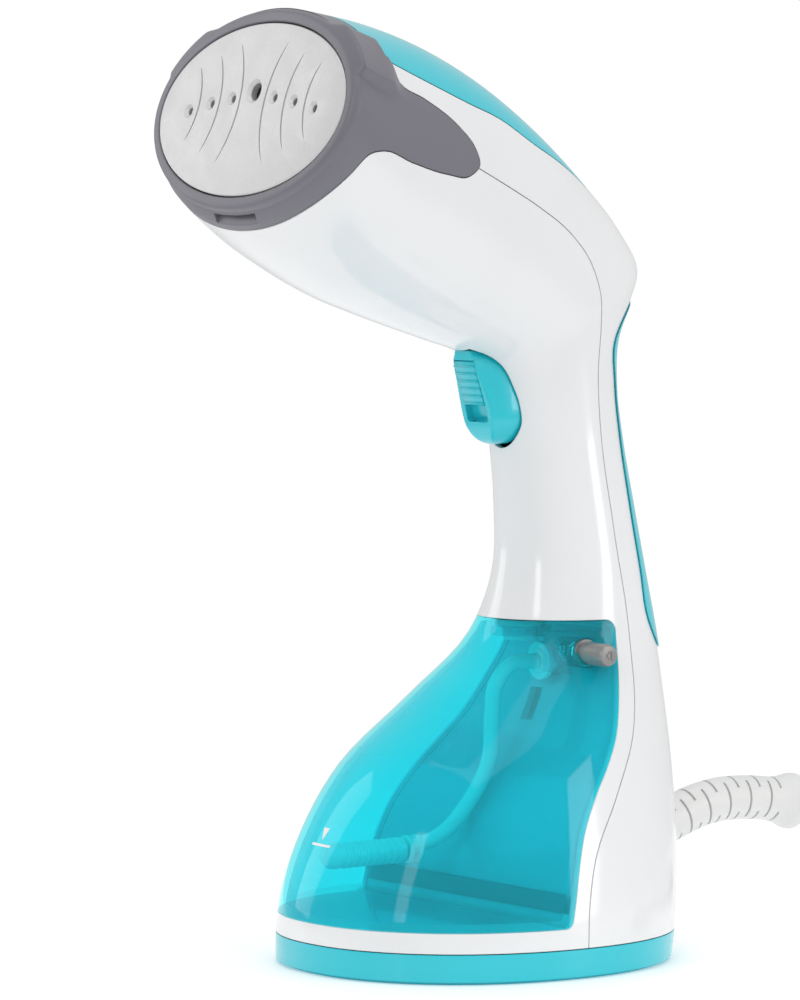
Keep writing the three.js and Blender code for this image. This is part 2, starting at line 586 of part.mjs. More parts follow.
const leadInner = () => rod([0, 46.4, leadHeight], [0, 57.5, leadHeight], CORD_RADIUS);

const cordClamp = () => cut(
  box(-CLAMP.half, CLAMP.half, CLAMP.y, CLAMP.y + CLAMP.length, leadHeight + SEAM, CLAMP.top),
  leadClearance(), ...clampScrewHoles());

const clampScrew = (side) => turned(
  [[0, 26], [1.3, 26], [1.3, CLAMP.top + GAP], [2.6, CLAMP.top + GAP], [2.6, CLAMP.top + 2],
    [0, CLAMP.top + 2]],
  [side * CLAMP.screw, CLAMP.y + CLAMP.length / 2, 0], Z, 14);

function strainRelief() {
  const end = new THREE.Vector3(...BOOT_ROUTE.at(-1));
  const along = end.clone().sub(new THREE.Vector3(...BOOT_ROUTE.at(-2))).normalize();
  const bell = turned([
    [0, -12], [BOOT.radius - 0.4, -12], [BOOT.radius + 0.6, -6], [BOOT.bell, -2.2],
    [BOOT.bell, -0.8], [BOOT.bell - 0.8, 0], [0, 0]], end.toArray(), along);
  const [, y, z] = BOOT_ROUTE[0];
  const flange = rod([0, y - 3.2, leadHeight], [0, y - 1.4, leadHeight], BOOT.flange);
  const neck = rod([0, y - 2, leadHeight], [0, y + 1, z + 0.2], BOOT.radius - 0.6);
  const socket = tube(
    [BOOT_ROUTE.at(-2), BOOT_ROUTE.at(-1), [0, 140, 37.2]], CORD_RADIUS + GAP, 4, 12);
  return cut(join(tube(BOOT_ROUTE, BOOT.radius, 12, 14), bell, flange, neck), socket);
}

function cordCoil() {
  const { x, y, mean, pitch, across, layers } = COIL;
  const [half, height] = [(across * pitch) / 2, layers * pitch];
  const edge = pitch / 3;
  return turned([
    [mean - half + edge, 0], [mean + half - edge, 0], [mean + half, edge],
    [mean + half, height - edge], [mean + half - edge, height], [mean - half + edge, height],
    [mean - half, height - edge], [mean - half, edge], [mean - half + edge, 0],
  ], [x, y, 0], Z, 36);
}

function plugBody() {
  const { x, z, width, height, tip, back } = PLUG;
  const relief = turned(
    [[0, 0], [6.2, 0], [5.2, 12], [0, 12]], [x, back - 0.5, z], Y, 20);
  const body = box(x - width / 2, x + width / 2, tip, back, z - height / 2, z + height / 2);
  const slots = [-1, 1].map((side) => {
    const at = x + side * 6.35;
    return box(at - 0.75 - GAP, at + 0.75 + GAP, tip - 1, tip + 6, z - 3.15 - GAP, z + 3.15 + GAP);
  });
  const socket = rod([x, back + 3, z], [x, back + 20, z], CORD_RADIUS + GAP, 16);
  return cut(join(body, relief), ...slots, socket);
}

const plugBlade = (side) => box(
  PLUG.x + side * 6.35 - 0.75, PLUG.x + side * 6.35 + 0.75, PLUG.tip - PLUG.blade,
  PLUG.tip + 6 - GAP, PLUG.z - 3.15, PLUG.z + 3.15);

function baseScrew([x, y]) {
  const turnedScrew = turned([
    [0, SCREW.low], [SCREW.head - 0.4, SCREW.low], [SCREW.head, SCREW.low + 0.5],
    [SCREW.head, SCREW.headTop], [SCREW.radius, SCREW.headTop], [SCREW.radius, SCREW.top],
    [0, SCREW.top]], [x, y, 0], Z, 12);
  return cut(
    turnedScrew, box(x - 1.8, x + 1.8, y - 0.4, y + 0.4, 0, SCREW.low + 0.9),
    box(x - 0.4, x + 0.4, y - 1.8, y + 1.8, 0, SCREW.low + 0.9));
}

// ---- Assembly ----
const WHITE = { color: 0xf2f2f3, roughness: 0.22, metalness: 0 };
const CYAN = { color: 0x25c8d6, roughness: 0.25, metalness: 0 };
const GREY = { color: 0x7d7c84, roughness: 0.42, metalness: 0 };
const TANK = {
  color: 0x12a5c4, roughness: 0.06, metalness: 0, transparent: true, opacity: 0.55 };
const CLEAR = { color: 0xb9d9dd, roughness: 0.2, metalness: 0 };
const SILVER = { color: 0x9a9a98, roughness: 0.35, metalness: 0.6 };
const ALUMINIUM = { color: 0xd6d6d6, roughness: 0.45, metalness: 0.85 };
const STEEL = { color: 0xb4b6b8, roughness: 0.3, metalness: 1 };
const BLACK = { color: 0x1d1d1f, roughness: 0.55, metalness: 0 };
const RUBBER = { color: 0xd8d8d6, roughness: 0.6, metalness: 0 };
const BOARD = { color: 0x1f6b3a, roughness: 0.5, metalness: 0 };
const CORD = { color: 0xeeeeec, roughness: 0.5, metalness: 0 };

const group = new THREE.Group();
function add(name, solid, finish) {
  const mesh = new THREE.Mesh(geometryOf(solid), new THREE.MeshStandardMaterial(finish));
  mesh.name = name;
  group.add(mesh);
}

add('base_trim', baseTrim(), CYAN);
add('front_shell', frontShell(), WHITE);
add('rear_shell', rearShell(), WHITE);
add('top_cover', topCover(), CYAN);
add('back_strip', backStrip(), CYAN);
add('tank_bay', tankBay(), WHITE);

add('nozzle_ring', nozzleRing(), GREY);
add('steam_plate', steamPlate(), ALUMINIUM);
add('plate_gasket', plateGasket(), BLACK);
add('boiler', boiler(), ALUMINIUM);
add('heating_element', heatingElement(), STEEL);
add('thermostat', thermostat(), STEEL);
add('thermal_fuse', thermalFuse(), RUBBER);

add('trigger', trigger(), CYAN);
add('trigger_lock', triggerLock(), CYAN);
add('trigger_pin', triggerPin(), STEEL);
add('trigger_spring', spring([0, 16.3, 172.5], Y, 8.2, 2.6, 0.4, 4), STEEL);
add('microswitch', microswitch(), BLACK);

add('tank_shell', tankShell(), TANK);
add('tank_back', tankBack(), TANK);
add('tank_outlet', tankOutlet(), CLEAR);
add('suction_tube', tube(SUCTION_ROUTE, 2.4, 18, 8), CLEAR);
add('suction_filter', suctionFilter(), CLEAR);
add('fill_cap', fillCap(), RUBBER);
add('release_button', releaseButton(), SILVER);
add('button_spring', buttonSpring(), STEEL);
add('tank_coupling', tankCoupling(), CLEAR);
add('coupling_seal', couplingSeal(), BLACK);

add('pump', pump(), BLACK);
add('inlet_hose', tube(INLET_HOSE, HOSE_RADIUS, 8, 7), CLEAR);
add('outlet_hose', tube(OUTLET_HOSE, HOSE_RADIUS, 24, 7), CLEAR);
add('control_board', controlBoard(), BOARD);
add('wire_harness', tube(HARNESS, 1.8, 20, 6), BLACK);
add('mains_wires', tube(MAINS_WIRES, 1.8, 10, 6), BLACK);

add('lead_inner', leadInner(), CORD);
add('cord_clamp', cordClamp(), WHITE);
add('clamp_screw_1', clampScrew(-1), STEEL);
add('clamp_screw_2', clampScrew(1), STEEL);
add('strain_relief', strainRelief(), RUBBER);
add('cord_lead', tube(LEAD_ROUTE, CORD_RADIUS, 12, 10), CORD);
add('cord_coil', cordCoil(), CORD);
add('cord_tail', tube(TAIL_ROUTE, CORD_RADIUS, 6, 10), CORD);
add('plug_body', plugBody(), CORD);
add('plug_blade_1', plugBlade(-1), STEEL);
add('plug_blade_2', plugBlade(1), STEEL);
SCREW_PLACES.forEach((place, i) => add(`base_screw_${i + 1}`, baseScrew(place), STEEL));

export default group;
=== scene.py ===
"""Handheld garment steamer: finished surfaces round its working model.

Shapes are worked out in millimetres, +Z up, with the nozzle towards -Y, and go to metres when a
piece is finished.
"""

import math

import bmesh
import bpy
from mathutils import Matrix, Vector


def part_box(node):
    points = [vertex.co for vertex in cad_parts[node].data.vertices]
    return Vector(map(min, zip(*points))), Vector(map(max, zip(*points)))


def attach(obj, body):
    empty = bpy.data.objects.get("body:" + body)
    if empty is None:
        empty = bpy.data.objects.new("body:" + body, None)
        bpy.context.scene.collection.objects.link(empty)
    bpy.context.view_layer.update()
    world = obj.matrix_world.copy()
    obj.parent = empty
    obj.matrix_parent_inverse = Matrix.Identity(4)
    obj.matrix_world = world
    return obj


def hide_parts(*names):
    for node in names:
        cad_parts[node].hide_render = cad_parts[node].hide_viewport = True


bl_info = {
    "name": "Garment steamer",
    "version": (1, 0, 0),
    "blender": (4, 5, 0),
    "location": "View3D > Sidebar > Steamer",
    "description": "Builds a handheld garment steamer piece by piece",
    "category": "Add Mesh",
}

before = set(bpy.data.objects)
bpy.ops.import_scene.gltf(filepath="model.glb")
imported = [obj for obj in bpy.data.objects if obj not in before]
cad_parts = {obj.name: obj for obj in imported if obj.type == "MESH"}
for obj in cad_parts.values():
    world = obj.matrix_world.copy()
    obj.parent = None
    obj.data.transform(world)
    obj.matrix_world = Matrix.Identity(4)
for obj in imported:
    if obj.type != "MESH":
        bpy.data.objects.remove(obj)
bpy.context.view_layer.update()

MM = 0.001
X, Y, Z = Vector((1, 0, 0)), Vector((0, 1, 0)), Vector((0, 0, 1))
FAR = 150


def size_of(node, axis):
    """A working node's extent along an axis, in millimetres."""
    low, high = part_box(node)
    return (high[axis] - low[axis]) / MM


# ---- Body sections: front point (y, z), back point (y, z), share of the widening ----
BASE_WIDTH = size_of("base_trim", 0)
HANDLE_WIDTH = 39.2
HEAD_WIDTH = 107.2
FOOT_ROWS = [
    (-61.5, 0, 61.5, 0, 0.992), (-61.5, 9, 62.8, 9, 1), (-60.2, 20, 64, 20, 0.984),
    (-53.3, 40, 64.9, 40, 0.889), (-40.8, 60, 64.9, 60, 0.722), (-17.5, 80, 64.2, 80, 0.47),
    (4.5, 100, 63, 100, 0.214), (11.6, 118, 60.4, 118, 0.073), (12, 140, 56, 140, 0.016),
    (10, 160, 51.8, 160, 0),
]
HEAD_ROWS = [
    (7.5, 173, 49.3, 177, 0.012), (4, 181.5, 50.2, 192, 0.029), (-1, 186, 55.6, 204, 0.056),
    (-6, 188, 58.4, 213, 0.1), (-13, 190, 50.8, 225.6, 0.159), (-21, 192.4, 35.2, 241.2, 0.247),
    (-32, 195.8, 14.3, 258.3, 0.365), (-44, 199.8, -8.5, 272.6, 0.497),
    (-56, 204.4, -30.2, 282.2, 0.644), (-68, 210.9, -50, 287.8, 0.785),
    (-78, 217.8, -63, 290, 0.9), (-85, 224.4, -70, 291, 0.971), (-90.6, 230.8, -73.6, 291.4, 1),
]
SQUARENESS = {"handle": 2.05, "foot": 0.1, "head": -0.05}

# ---- Levels and seams in side view, (y, z) ----
TRIM_TOP = 9.3
SHELF_TOP = 15.5
TANK_TOP = 105.1
PARTING = [
    (-23.1, 242.9), (-10.4, 237.7), (3.2, 231.7), (16.9, 224.1), (26, 215.6), (30.8, 206.4),
    (33, 197.1), (33, 178), (34.9, 157), (38.5, 133), (40.5, 110.7), (38.9, 95.6), (32.9, 74.3),
    (18.8, 53.4), (7.1, 36.1), (2.6, 20), (1.9, 9.5),
]
TANK_CORNER = (35.2, TANK_TOP)
TANK_REAR = [
    (32.3, 91.8), (29.9, 84.4), (24.1, 71.1), (18.4, 63.2), (10.8, 53.9), (4.1, 43.1),
    (0.4, 32.8), (-2.2, 22.3),
]
TANK_TOE = (-3.9, SHELF_TOP)
RING_EDGE = [
    (-62, 276.6), (-59.6, 274.4), (-58.5, 270.9), (-56.6, 268.2), (-46.5, 263.8),
    (-31.9, 255.6), (-25.2, 249), (-23.8, 244.6), (-28.6, 241), (-38.3, 241.5),
    (-54.4, 244.9), (-67.2, 248.3), (-73.4, 247.2), (-78.5, 241), (-83.4, 231.6), (-85.3, 224.8),
]
COVER_EDGE = [
    (-61.7, 276.3), (-51.6, 272.3), (-41.4, 268.6), (-23.8, 262.7), (-9.5, 258.4),
    (6.4, 250.7), (19.3, 245.3), (27.6, 241.3), (33.5, 238.1), (46, 236.5),
]
STRIP_EDGE = [
    (62, 206), (48, 199), (41.8, 189.2), (43.5, 176.7), (44.7, 164.3), (48.5, 136.3),
    (50.9, 119.2), (51.2, 103.8), (55.2, 97.3), (68, 92.5),
]
STRIP_THICK = 1.6
FOOT_STEP = {"height": 0.9, "inset": 2.2}

# ---- Steam plate's own frame: x across, up along it, out of its face ----
PLATE_CENTRE = Vector((0, -82.3, 261))
PLATE_TILT = math.radians(15.8)
PLATE_HALF = (49, 26.8)
PLATE_THICK = 3
PLATE_UP = Vector((0, math.sin(PLATE_TILT), math.cos(PLATE_TILT)))
PLATE_OUT = Vector((0, -math.cos(PLATE_TILT), math.sin(PLATE_TILT)))
BEZEL_DEPTH = 5.1
BEZEL_ROUND = 2.2
LEDGE = 3.5
STEAM_HOLES = [(11.2, 3.45), (22.3, 2.1), (33.5, -0.1)]
EAR_ANGLES = (24, 52)
EAR_PROUD = 3

NOZZLE_SLOT = {"half": 11, "low": -38.6, "top": -30.4, "front": 3, "back": 5}

# ---- Trigger ----
TRIGGER_SIDE = [
    (-4.6, 187.9), (-4.2, 184.7), (1.3, 167.1), (2.1, 163.4), (4, 160), (7, 158.5), (10.5, 158.8),
    (16, 161.5), (16, 187.9),
]
TRIGGER_FRONT = [
    (4.9, 188.2), (6.8, 185.3), (8.2, 178), (9, 170), (8.6, 166), (7, 163), (4.5, 160.3),
    (2.3, 159.1), (0, 158.7),
]
FACE_TOP = Vector((0, -4.2, 184.7))
FACE_DOWN = Vector((0, 5.5, -17.6)).normalized()
FACE_OUT = Vector((0, FACE_DOWN.z, -FACE_DOWN.y))
TRIGGER_WIDTHS = [(-6, 0.76), (-3, 0.8), (1, 0.88), (5, 0.96), (8, 1), (17, 1)]
TRIGGER_PIN = 1.8
LOCK = {"half": 5.1, "top": 0.2, "length": 14.4, "depth": 2.3, "teeth": 6}
HINGE = (12, 184)
OPENING = {"gap": 0.5, "drop": 0.7, "front": -5.6, "back": 17}

# ---- Tank fittings ----
BUTTON = {"y": 23.4, "z": 95.2, "radius": 3.5, "end": 38.3, "flange": 4.3, "wall": 27}
CAP = {"y": 18, "radius": 7.7, "inset": 0.4, "stem": 5.7, "thick": 2, "depth": 4.6}
OUTLET = {"z": 91, "radius": 4, "bore": 2, "inner": 24, "outer": 42}
SUCTION_ROUTE = [
    (0, 23.6, 91), (0, 14, 90.2), (-0.6, 8.6, 84), (-1, 7.6, 75), (-2, 7.2, 61), (-4, 1, 48),
    (-7, -8, 38), (-10, -18.4, 34.2),
]
FILTER_RINGS = 9
LATCH_WINDOW = (-10, -4, 20, 44, 72, 82)
BAY_ROOM = (-FAR, FAR, -3.2, 80, 12, 130)
SUCTION_RADIUS = 2.4
FILTER_ENDS = (Vector((-10.3, -19.2, 34)), Vector((-12.5, -48.5, 33.3)))

# ---- Cord and its fittings ----
BOOT_ROUTE = [
    (0, 61, 34), (0, 66, 35), (0, 76, 37.8), (0, 86, 41.2), (0, 96, 43), (0, 107, 43),
    (0, 118, 41.8), (0, 127, 40.4),
]
BOOT_RADIUS = 7
BOOT_SLOTS = (63, 117)
BOOT_FLARE = {"start": 11, "full": 8, "rise": 2, "lip": 0.7}
CORD_EXIT = (0, 127, 40.4)
LEAD_ROUTE = [
    (0, 121, 41.3), CORD_EXIT, (-0.3, 134, 38.6), (-1.6, 142, 34.6), (-4, 150, 29.4),
    (-7.6, 158, 24.2), (-11.8, 166, 19.6), (-16.2, 174, 16), (-20.4, 182, 13.4),
    (-24.2, 190, 11.8), (-27.2, 199, 11), (-29.2, 206, 10.8),
]
TAIL_ROUTE = [
    (76, 205, 3.6), (76.4, 196, 3.6), (77.5, 185.5, 3.7), (78.6, 176, 3.9), (80, 164, 5.6),
    (80.8, 155, 7.4), (81, 149.5, 7.8), (81, 143, 7.8),
]
COIL = {"x": 23, "y": 212, "outer": 52.8, "pitch": 7.2, "layers": (10.8, 3.6), "turns": 7.5}
COIL_TRACKS = [0, 1, 2, 3, 3, 2, 1, 0]
JOG = (0.70, 0.85)
JOG_TUCK = 2.5
POINTS_A_TURN = 24
PLUG = {"x": 81, "z": 7.8, "width": 25, "height": 15, "tip": 104, "back": 138, "blade": 17,
        "spread": 6.35, "socket": 3.65}
SCREW_PLACES = [(-40, -30), (40, -30), (-40, 34), (40, 34)]
SCREW = {"radius": 1.45, "head": 3, "low": 0.6, "head_top": 2.8, "top": 12.5}


# ---------------------------------------------------------------------------
# Settings
# ---------------------------------------------------------------------------
def length_setting(name, description, value, low=0.0, high=1.0):
    return bpy.props.FloatProperty(
        name=name, description=description, default=value * MM, min=low, max=high, precision=5,
        subtype="DISTANCE", unit="LENGTH")


def colour_setting(name, description, value):
    return bpy.props.FloatVectorProperty(
        name=name, description=description, default=value, min=0, max=1, size=3, subtype="COLOR")


class SteamerSizes(bpy.types.PropertyGroup):
    """Sizes of the steamer's surface detail."""

    wall: length_setting("Shell wall", "Thickness of the moulded shells", 2.2)
    seam: length_setting("Half seam", "Half the width of a parting line", 0.15)
    gap: length_setting("Gap", "Clearance between pieces that fit together", 0.3)
    tank_wall: length_setting("Tank wall", "Thickness of the tank's wall", 2.2)
    strip_proud: length_setting("Strip height", "How far the back strip stands proud", 0.6)
    groove: length_setting("Groove width", "Width of the steam plate's grooves", 0.8)
    slot_pitch: length_setting("Slot pitch", "Distance between the boot's slots", 4.1)
    slot_width: length_setting("Slot width", "Width of each slot in the boot", 0.75)
    slot_depth: length_setting("Slot depth", "Depth of each slot in the boot", 1.5)
    cord_diameter: length_setting("Cord diameter", "Diameter of the mains cord", 7)
    cord_length: length_setting("Cord length", "Length of the mains cord", 2070, high=10)
    cord_exit: bpy.props.FloatVectorProperty(
        name="Cord exit", description="Where the cord leaves the boot",
        default=[c * MM for c in CORD_EXIT], size=3, subtype="TRANSLATION", unit="LENGTH")


class SteamerFinishes(bpy.types.PropertyGroup):
    """Colours of the steamer's materials."""

    white: colour_setting("Body white", "Glossy shells", (0.83, 0.835, 0.845))
    cyan: colour_setting("Cyan", "Trim, cover, strip and trigger", (0.012, 0.56, 0.66))
    grey: colour_setting("Nozzle grey", "Satin nozzle ring", (0.17, 0.165, 0.195))
    plate: colour_setting("Plate", "Blasted aluminium steam plate", (0.68, 0.68, 0.68))
    tank: colour_setting("Tank", "Tint of the clear tank", (0.28, 0.95, 0.99))
    boot: colour_setting("Boot", "Soft boot and cord", (0.78, 0.78, 0.77))
    button: colour_setting("Button", "Silver release button", (0.25, 0.25, 0.245))


def settings():
    return bpy.context.scene.steamer_sizes, bpy.context.scene.steamer_finishes


# ---------------------------------------------------------------------------
# Outlines
# ---------------------------------------------------------------------------
def smooth(points, steps, measured=2):
    """Points on a smooth curve through points, spaced by their first measured numbers."""
    spans = [max(math.dist(a[:measured], b[:measured]), 1e-6) for a, b in zip(points, points[1:])]
    slopes = []
    for i, point in enumerate(points):
        before = after = None
        if i:
            before = [(p - q) / spans[i - 1] for p, q in zip(point, points[i - 1])]
        if i < len(spans):
            after = [(q - p) / spans[i] for p, q in zip(point, points[i + 1])]
        if before and after:
            total = spans[i - 1] + spans[i]
            slopes.append([
                (b * spans[i] + a * spans[i - 1]) / total for b, a in zip(before, after)])
        else:
            slopes.append(before or after)
    result = []
    for i, span in enumerate(spans):
        for k in range(steps):
            t = k / steps
            h = (2 * t**3 - 3 * t**2 + 1, t**3 - 2 * t**2 + t, 3 * t**2 - 2 * t**3, t**3 - t**2)
            result.append(tuple(
                h[0] * p + h[1] * span * m + h[2] * q + h[3] * span * n for p, m, q, n in zip(
                    points[i], slopes[i], points[i + 1], slopes[i + 1])))
    return result + [tuple(points[-1])]


def arc(before, corner, after, radius, steps=8):
    """Points that round the corner between two neighbours."""
    corner = Vector(corner)
    a, b = (Vector(before) - corner).normalized(), (Vector(after) - corner).normalized()
    half = a.angle(b) / 2
    centre = corner + (a + b).normalized() * (radius / math.sin(half))
    start = corner + a * (radius / math.tan(half)) - centre
    end = corner + b * (radius / math.tan(half)) - centre
    turn = start.angle(end)
    return [
        tuple(centre + (start * math.sin((1 - k / steps) * turn) + end * math.sin(k / steps * turn))
              / math.sin(turn)) for k in range(steps + 1)]


def eased(outline, radius, closed=True):
    """The outline with each corner rounded, by less where its edges are short."""
    count = len(outline)
    result = []
    for i, corner in enumerate(outline):
        if not closed and i in (0, count - 1):
            result.append(tuple(corner))
            continue
        before, after = Vector(outline[i - 1]), Vector(outline[(i + 1) % count])
        here = Vector(corner)
        a, b = before - here, after - here
        if min(a.length, b.length) < 1e-6 or math.pi - a.angle(b) < 0.15:
            result.append(tuple(corner))
            continue
        room = 0.45 * min(a.length, b.length) * math.tan(a.angle(b) / 2)
        result += arc(before, corner, after, min(radius, room), 4)
    return result


def offset(outline, distance):
    """The outline moved outwards by distance."""
    count = len(outline)
    area = sum(a[0] * b[1] - a[1] * b[0] for a, b in zip(outline, outline[1:] + outline[:1]))
    way = distance if area > 0 else -distance

    def normal(i):
        a, b = Vector(outline[i % count]), Vector(outline[(i + 1) % count])
        along = (b - a).normalized()
        return Vector((along.y, -along.x))

    moved = []
    for i, point in enumerate(outline):
        p, q = normal(i - 1), normal(i)
        moved.append(tuple(Vector(point) + (p + q) * (way / (1 + p.dot(q)))))
    return moved


def oval(a, b, sides):
    turns = [2 * math.pi * i / sides for i in range(sides)]
    return [(a * math.cos(t), b * math.sin(t)) for t in turns]


def slab(x0, x1, y0, y1):
    return [(x0, y0), (x1, y0), (x1, y1), (x0, y1)]


# ---------------------------------------------------------------------------
# Solids, in millimetres
# ---------------------------------------------------------------------------
def linked(name, data):
    """A new object in the scene's own collection."""
    obj = bpy.data.objects.new(name, data)
    bpy.context.scene.collection.objects.link(obj)
    return obj


def solid(points, faces):
    """A working object from points and faces; its faces are turned outwards."""
    mesh = bpy.data.meshes.new("form")
    mesh.from_pydata([tuple(p) for p in points], [], faces)
    work = bmesh.new()
    work.from_mesh(mesh)
    bmesh.ops.recalc_face_normals(work, faces=work.faces)
    work.to_mesh(mesh)
    work.free()
    return linked("form", mesh)


def loft(rings):
    """A solid through closed rings of the same number of points."""
    count = len(rings[0])
    points = [p for ring in rings for p in ring]
    faces = []
    for a in range(0, len(points) - count, count):
        faces += [
            (a + j, a + (j + 1) % count, a + count + (j + 1) % count, a + count + j)
            for j in range(count)]
    for first in (0, len(points) - count):
        ring = range(first, first + count)
        points.append(sum((Vector(points[i]) for i in ring), Vector()) / count)
        faces += [(first + j, first + (j + 1) % count, len(points) - 1) for j in range(count)]
    return solid(points, faces)


def prism(outline, u, v, origin, start, end):
    """A solid: an outline in the u, v plane carried along u x v from start to end."""
    out = u.cross(v)
    low = [origin + u * a + v * b + out * start for a, b in outline]
    high = [p + out * (end - start) for p in low]
    count = len(low)
    sides = [(i, (i + 1) % count, count + (i + 1) % count, count + i) for i in range(count)]
    return solid(low + high, [tuple(range(count)), tuple(range(count, 2 * count)), *sides])


def prism_x(outline, start=-FAR, end=FAR):
    return prism(outline, Y, Z, Vector(), start, end)


def prism_y(outline, start, end):
    return prism(outline, X, Z, Vector(), -end, -start)


def plate_prism(outline, front, back):
    """An outline on the steam plate carried from front to back, measured behind its face."""
    return prism(outline, X, PLATE_UP, PLATE_CENTRE, -back, -front)


def box(x0, x1, y0, y1, z0, z1):
    return prism(slab(x0, x1, y0, y1), X, Y, Vector(), z0, z1)


def turned(profile, origin, axis, sides=64):
    """A solid of revolution: (radius, along) points round the line from origin along axis."""
    side = axis.orthogonal().normalized()
    other = axis.cross(side)
    loop = profile[0] == profile[-1] and profile[0][0] > 0
    profile = profile[:-1] if loop else profile
    points, rows = [], []
    for radius, along in profile:
        centre = Vector(origin) + axis * along
        if radius <= 1e-6:
            rows.append([len(points)])
            points.append(centre)
            continue
        rows.append(list(range(len(points), len(points) + sides)))
        for k in range(sides):
            t = 2 * math.pi * k / sides
            points.append(centre + (side * math.cos(t) + other * math.sin(t)) * radius)
    faces = []
    for a, b in zip(rows, rows[1:] + (rows[:1] if loop else [])):
        if len(a) == len(b) == 1:
            continue
        for k in range(sides):
            n = (k + 1) % sides
            if len(a) == 1:
                faces.append((a[0], b[k], b[n]))
            elif len(b) == 1:
                faces.append((a[k], a[n], b[0]))
            else:
                faces.append((a[k], a[n], b[n], b[k]))
        if not loop and b is rows[-1] and len(b) > 1:
            faces.append(tuple(b))
    if not loop and len(rows[0]) > 1:
        faces.append(tuple(rows[0]))
    return solid(points, faces)


def rod(start, end, radius, sides=48):
    start, end = Vector(start), Vector(end)
    length = (end - start).length
    profile = [(0, 0), (radius, 0), (radius, length), (0, length)]
    return turned(profile, start, (end - start).normalized(), sides)


def sweep(route, radius_at, sides):
    """A tube along route; radius_at gives its radius at a share of its length."""
    points = [Vector(p) for p in route]
    lengths = [0.0]
    for a, b in zip(points, points[1:]):
        lengths.append(lengths[-1] + (b - a).length)
    side = None
    rings = []
    for i, point in enumerate(points):
        along = (points[min(i + 1, len(points) - 1)] - points[max(i - 1, 0)]).normalized()
        if side is None:
            side = along.cross(Z).normalized() if abs(along.z) < 0.9 else X.copy()
        side = (side - along * side.dot(along)).normalized()
        other = along.cross(side)
        radius = radius_at(lengths[i] / lengths[-1])
        rings.append([point + (side * a + other * b) * radius for a, b in oval(1, 1, sides)])
    return loft(rings)


def baked(obj):
    """The object's mesh with its modifiers applied, as a new working object."""
    result = bpy.data.meshes.new_from_object(
        obj.evaluated_get(bpy.context.evaluated_depsgraph_get()))
    old = obj.data
    obj.modifiers.clear()
    obj.data = result
    if old.users == 0:
        bpy.data.meshes.remove(old)
    return obj


def combined(base, operation, others):
    for other in others:
        modifier = base.modifiers.new(operation.title(), "BOOLEAN")
        modifier.operation = operation
        modifier.solver = "MANIFOLD"
        modifier.object = other
    baked(base)
    for other in others:
        mesh = other.data
        bpy.data.objects.remove(other)
        if mesh.users == 0:
            bpy.data.meshes.remove(mesh)
    if not base.data.polygons:
        raise RuntimeError("a cut left nothing")
    return base


def cut(base, *others):
    return combined(base, "DIFFERENCE", others)


def common(base, *others):
    return combined(base, "INTERSECT", others)


def join(base, *others):
    return combined(base, "UNION", others)


def bevelled(obj, width, segments=3, angle=30):
    modifier = obj.modifiers.new("Round", "BEVEL")
    modifier.width = width
    modifier.segments = segments
    modifier.limit_method = "ANGLE"
    modifier.angle_limit = math.radians(angle)
    return baked(obj)


def softened(obj, voxel, passes):
    """The object as one even skin with its edges rounded."""
    remesh = obj.modifiers.new("Skin", "REMESH")
    remesh.mode = "VOXEL"
    remesh.voxel_size = voxel
    ease = obj.modifiers.new("Ease", "SMOOTH")
    ease.factor = 0.5
    ease.iterations = passes
    return baked(obj)


# ---------------------------------------------------------------------------
# Body envelope and the regions between its seams
# ---------------------------------------------------------------------------
RING_POINTS = 128
ROW_STEPS = 5


def body_rows():
    """Section rows as (front y, front z, back y, back z, half width, squareness)."""
    def widened(rows, width, change):
        return [
            (*row[:4], (HANDLE_WIDTH + row[4] * (width - HANDLE_WIDTH)) / 2,
             SQUARENESS["handle"] + row[4] * change) for row in rows]

    rows = widened(FOOT_ROWS, BASE_WIDTH, SQUARENESS["foot"])
    rows += widened(HEAD_ROWS, HEAD_WIDTH, SQUARENESS["head"])
    return smooth(rows, ROW_STEPS, 4)


def section(row, grow, count=RING_POINTS):
    front_y, front_z, back_y, back_z, half, power = row
    centre = Vector((0, (front_y + back_y) / 2, (front_z + back_z) / 2))
    reach = Vector((0, back_y - front_y, back_z - front_z)) / 2
    deep = reach * ((reach.length + grow) / reach.length)
    ring = []
    for i in range(count):
        turn = 2 * math.pi * i / count
        c, s = (
            0 if abs(v) < 1e-9 else math.copysign(abs(v) ** (2 / power), v)
            for v in (math.cos(turn), math.sin(turn)))
        ring.append(centre + X * ((half + grow) * c) + deep * s)
    return ring


def ear_height(point):
    """How far the nozzle ring's ears lift the surface at a point."""
    place = point - PLATE_CENTRE
    across, up, behind = abs(place.x), place.dot(PLATE_UP), -place.dot(PLATE_OUT)
    angle = math.degrees(math.atan2(up / PLATE_HALF[1], across / PLATE_HALF[0]))

    def ramp(value, start, end):
        t = min(1, max(0, (value - start) / (end - start)))
        return t * t * (3 - 2 * t)

    low, high = EAR_ANGLES
    return EAR_PROUD * (
        ramp(angle, low - 5, low + 1) * (1 - ramp(angle, high - 2, high + 8))
        * ramp(behind, 0.2, 2.4) * (1 - ramp(behind, 16, 24)))


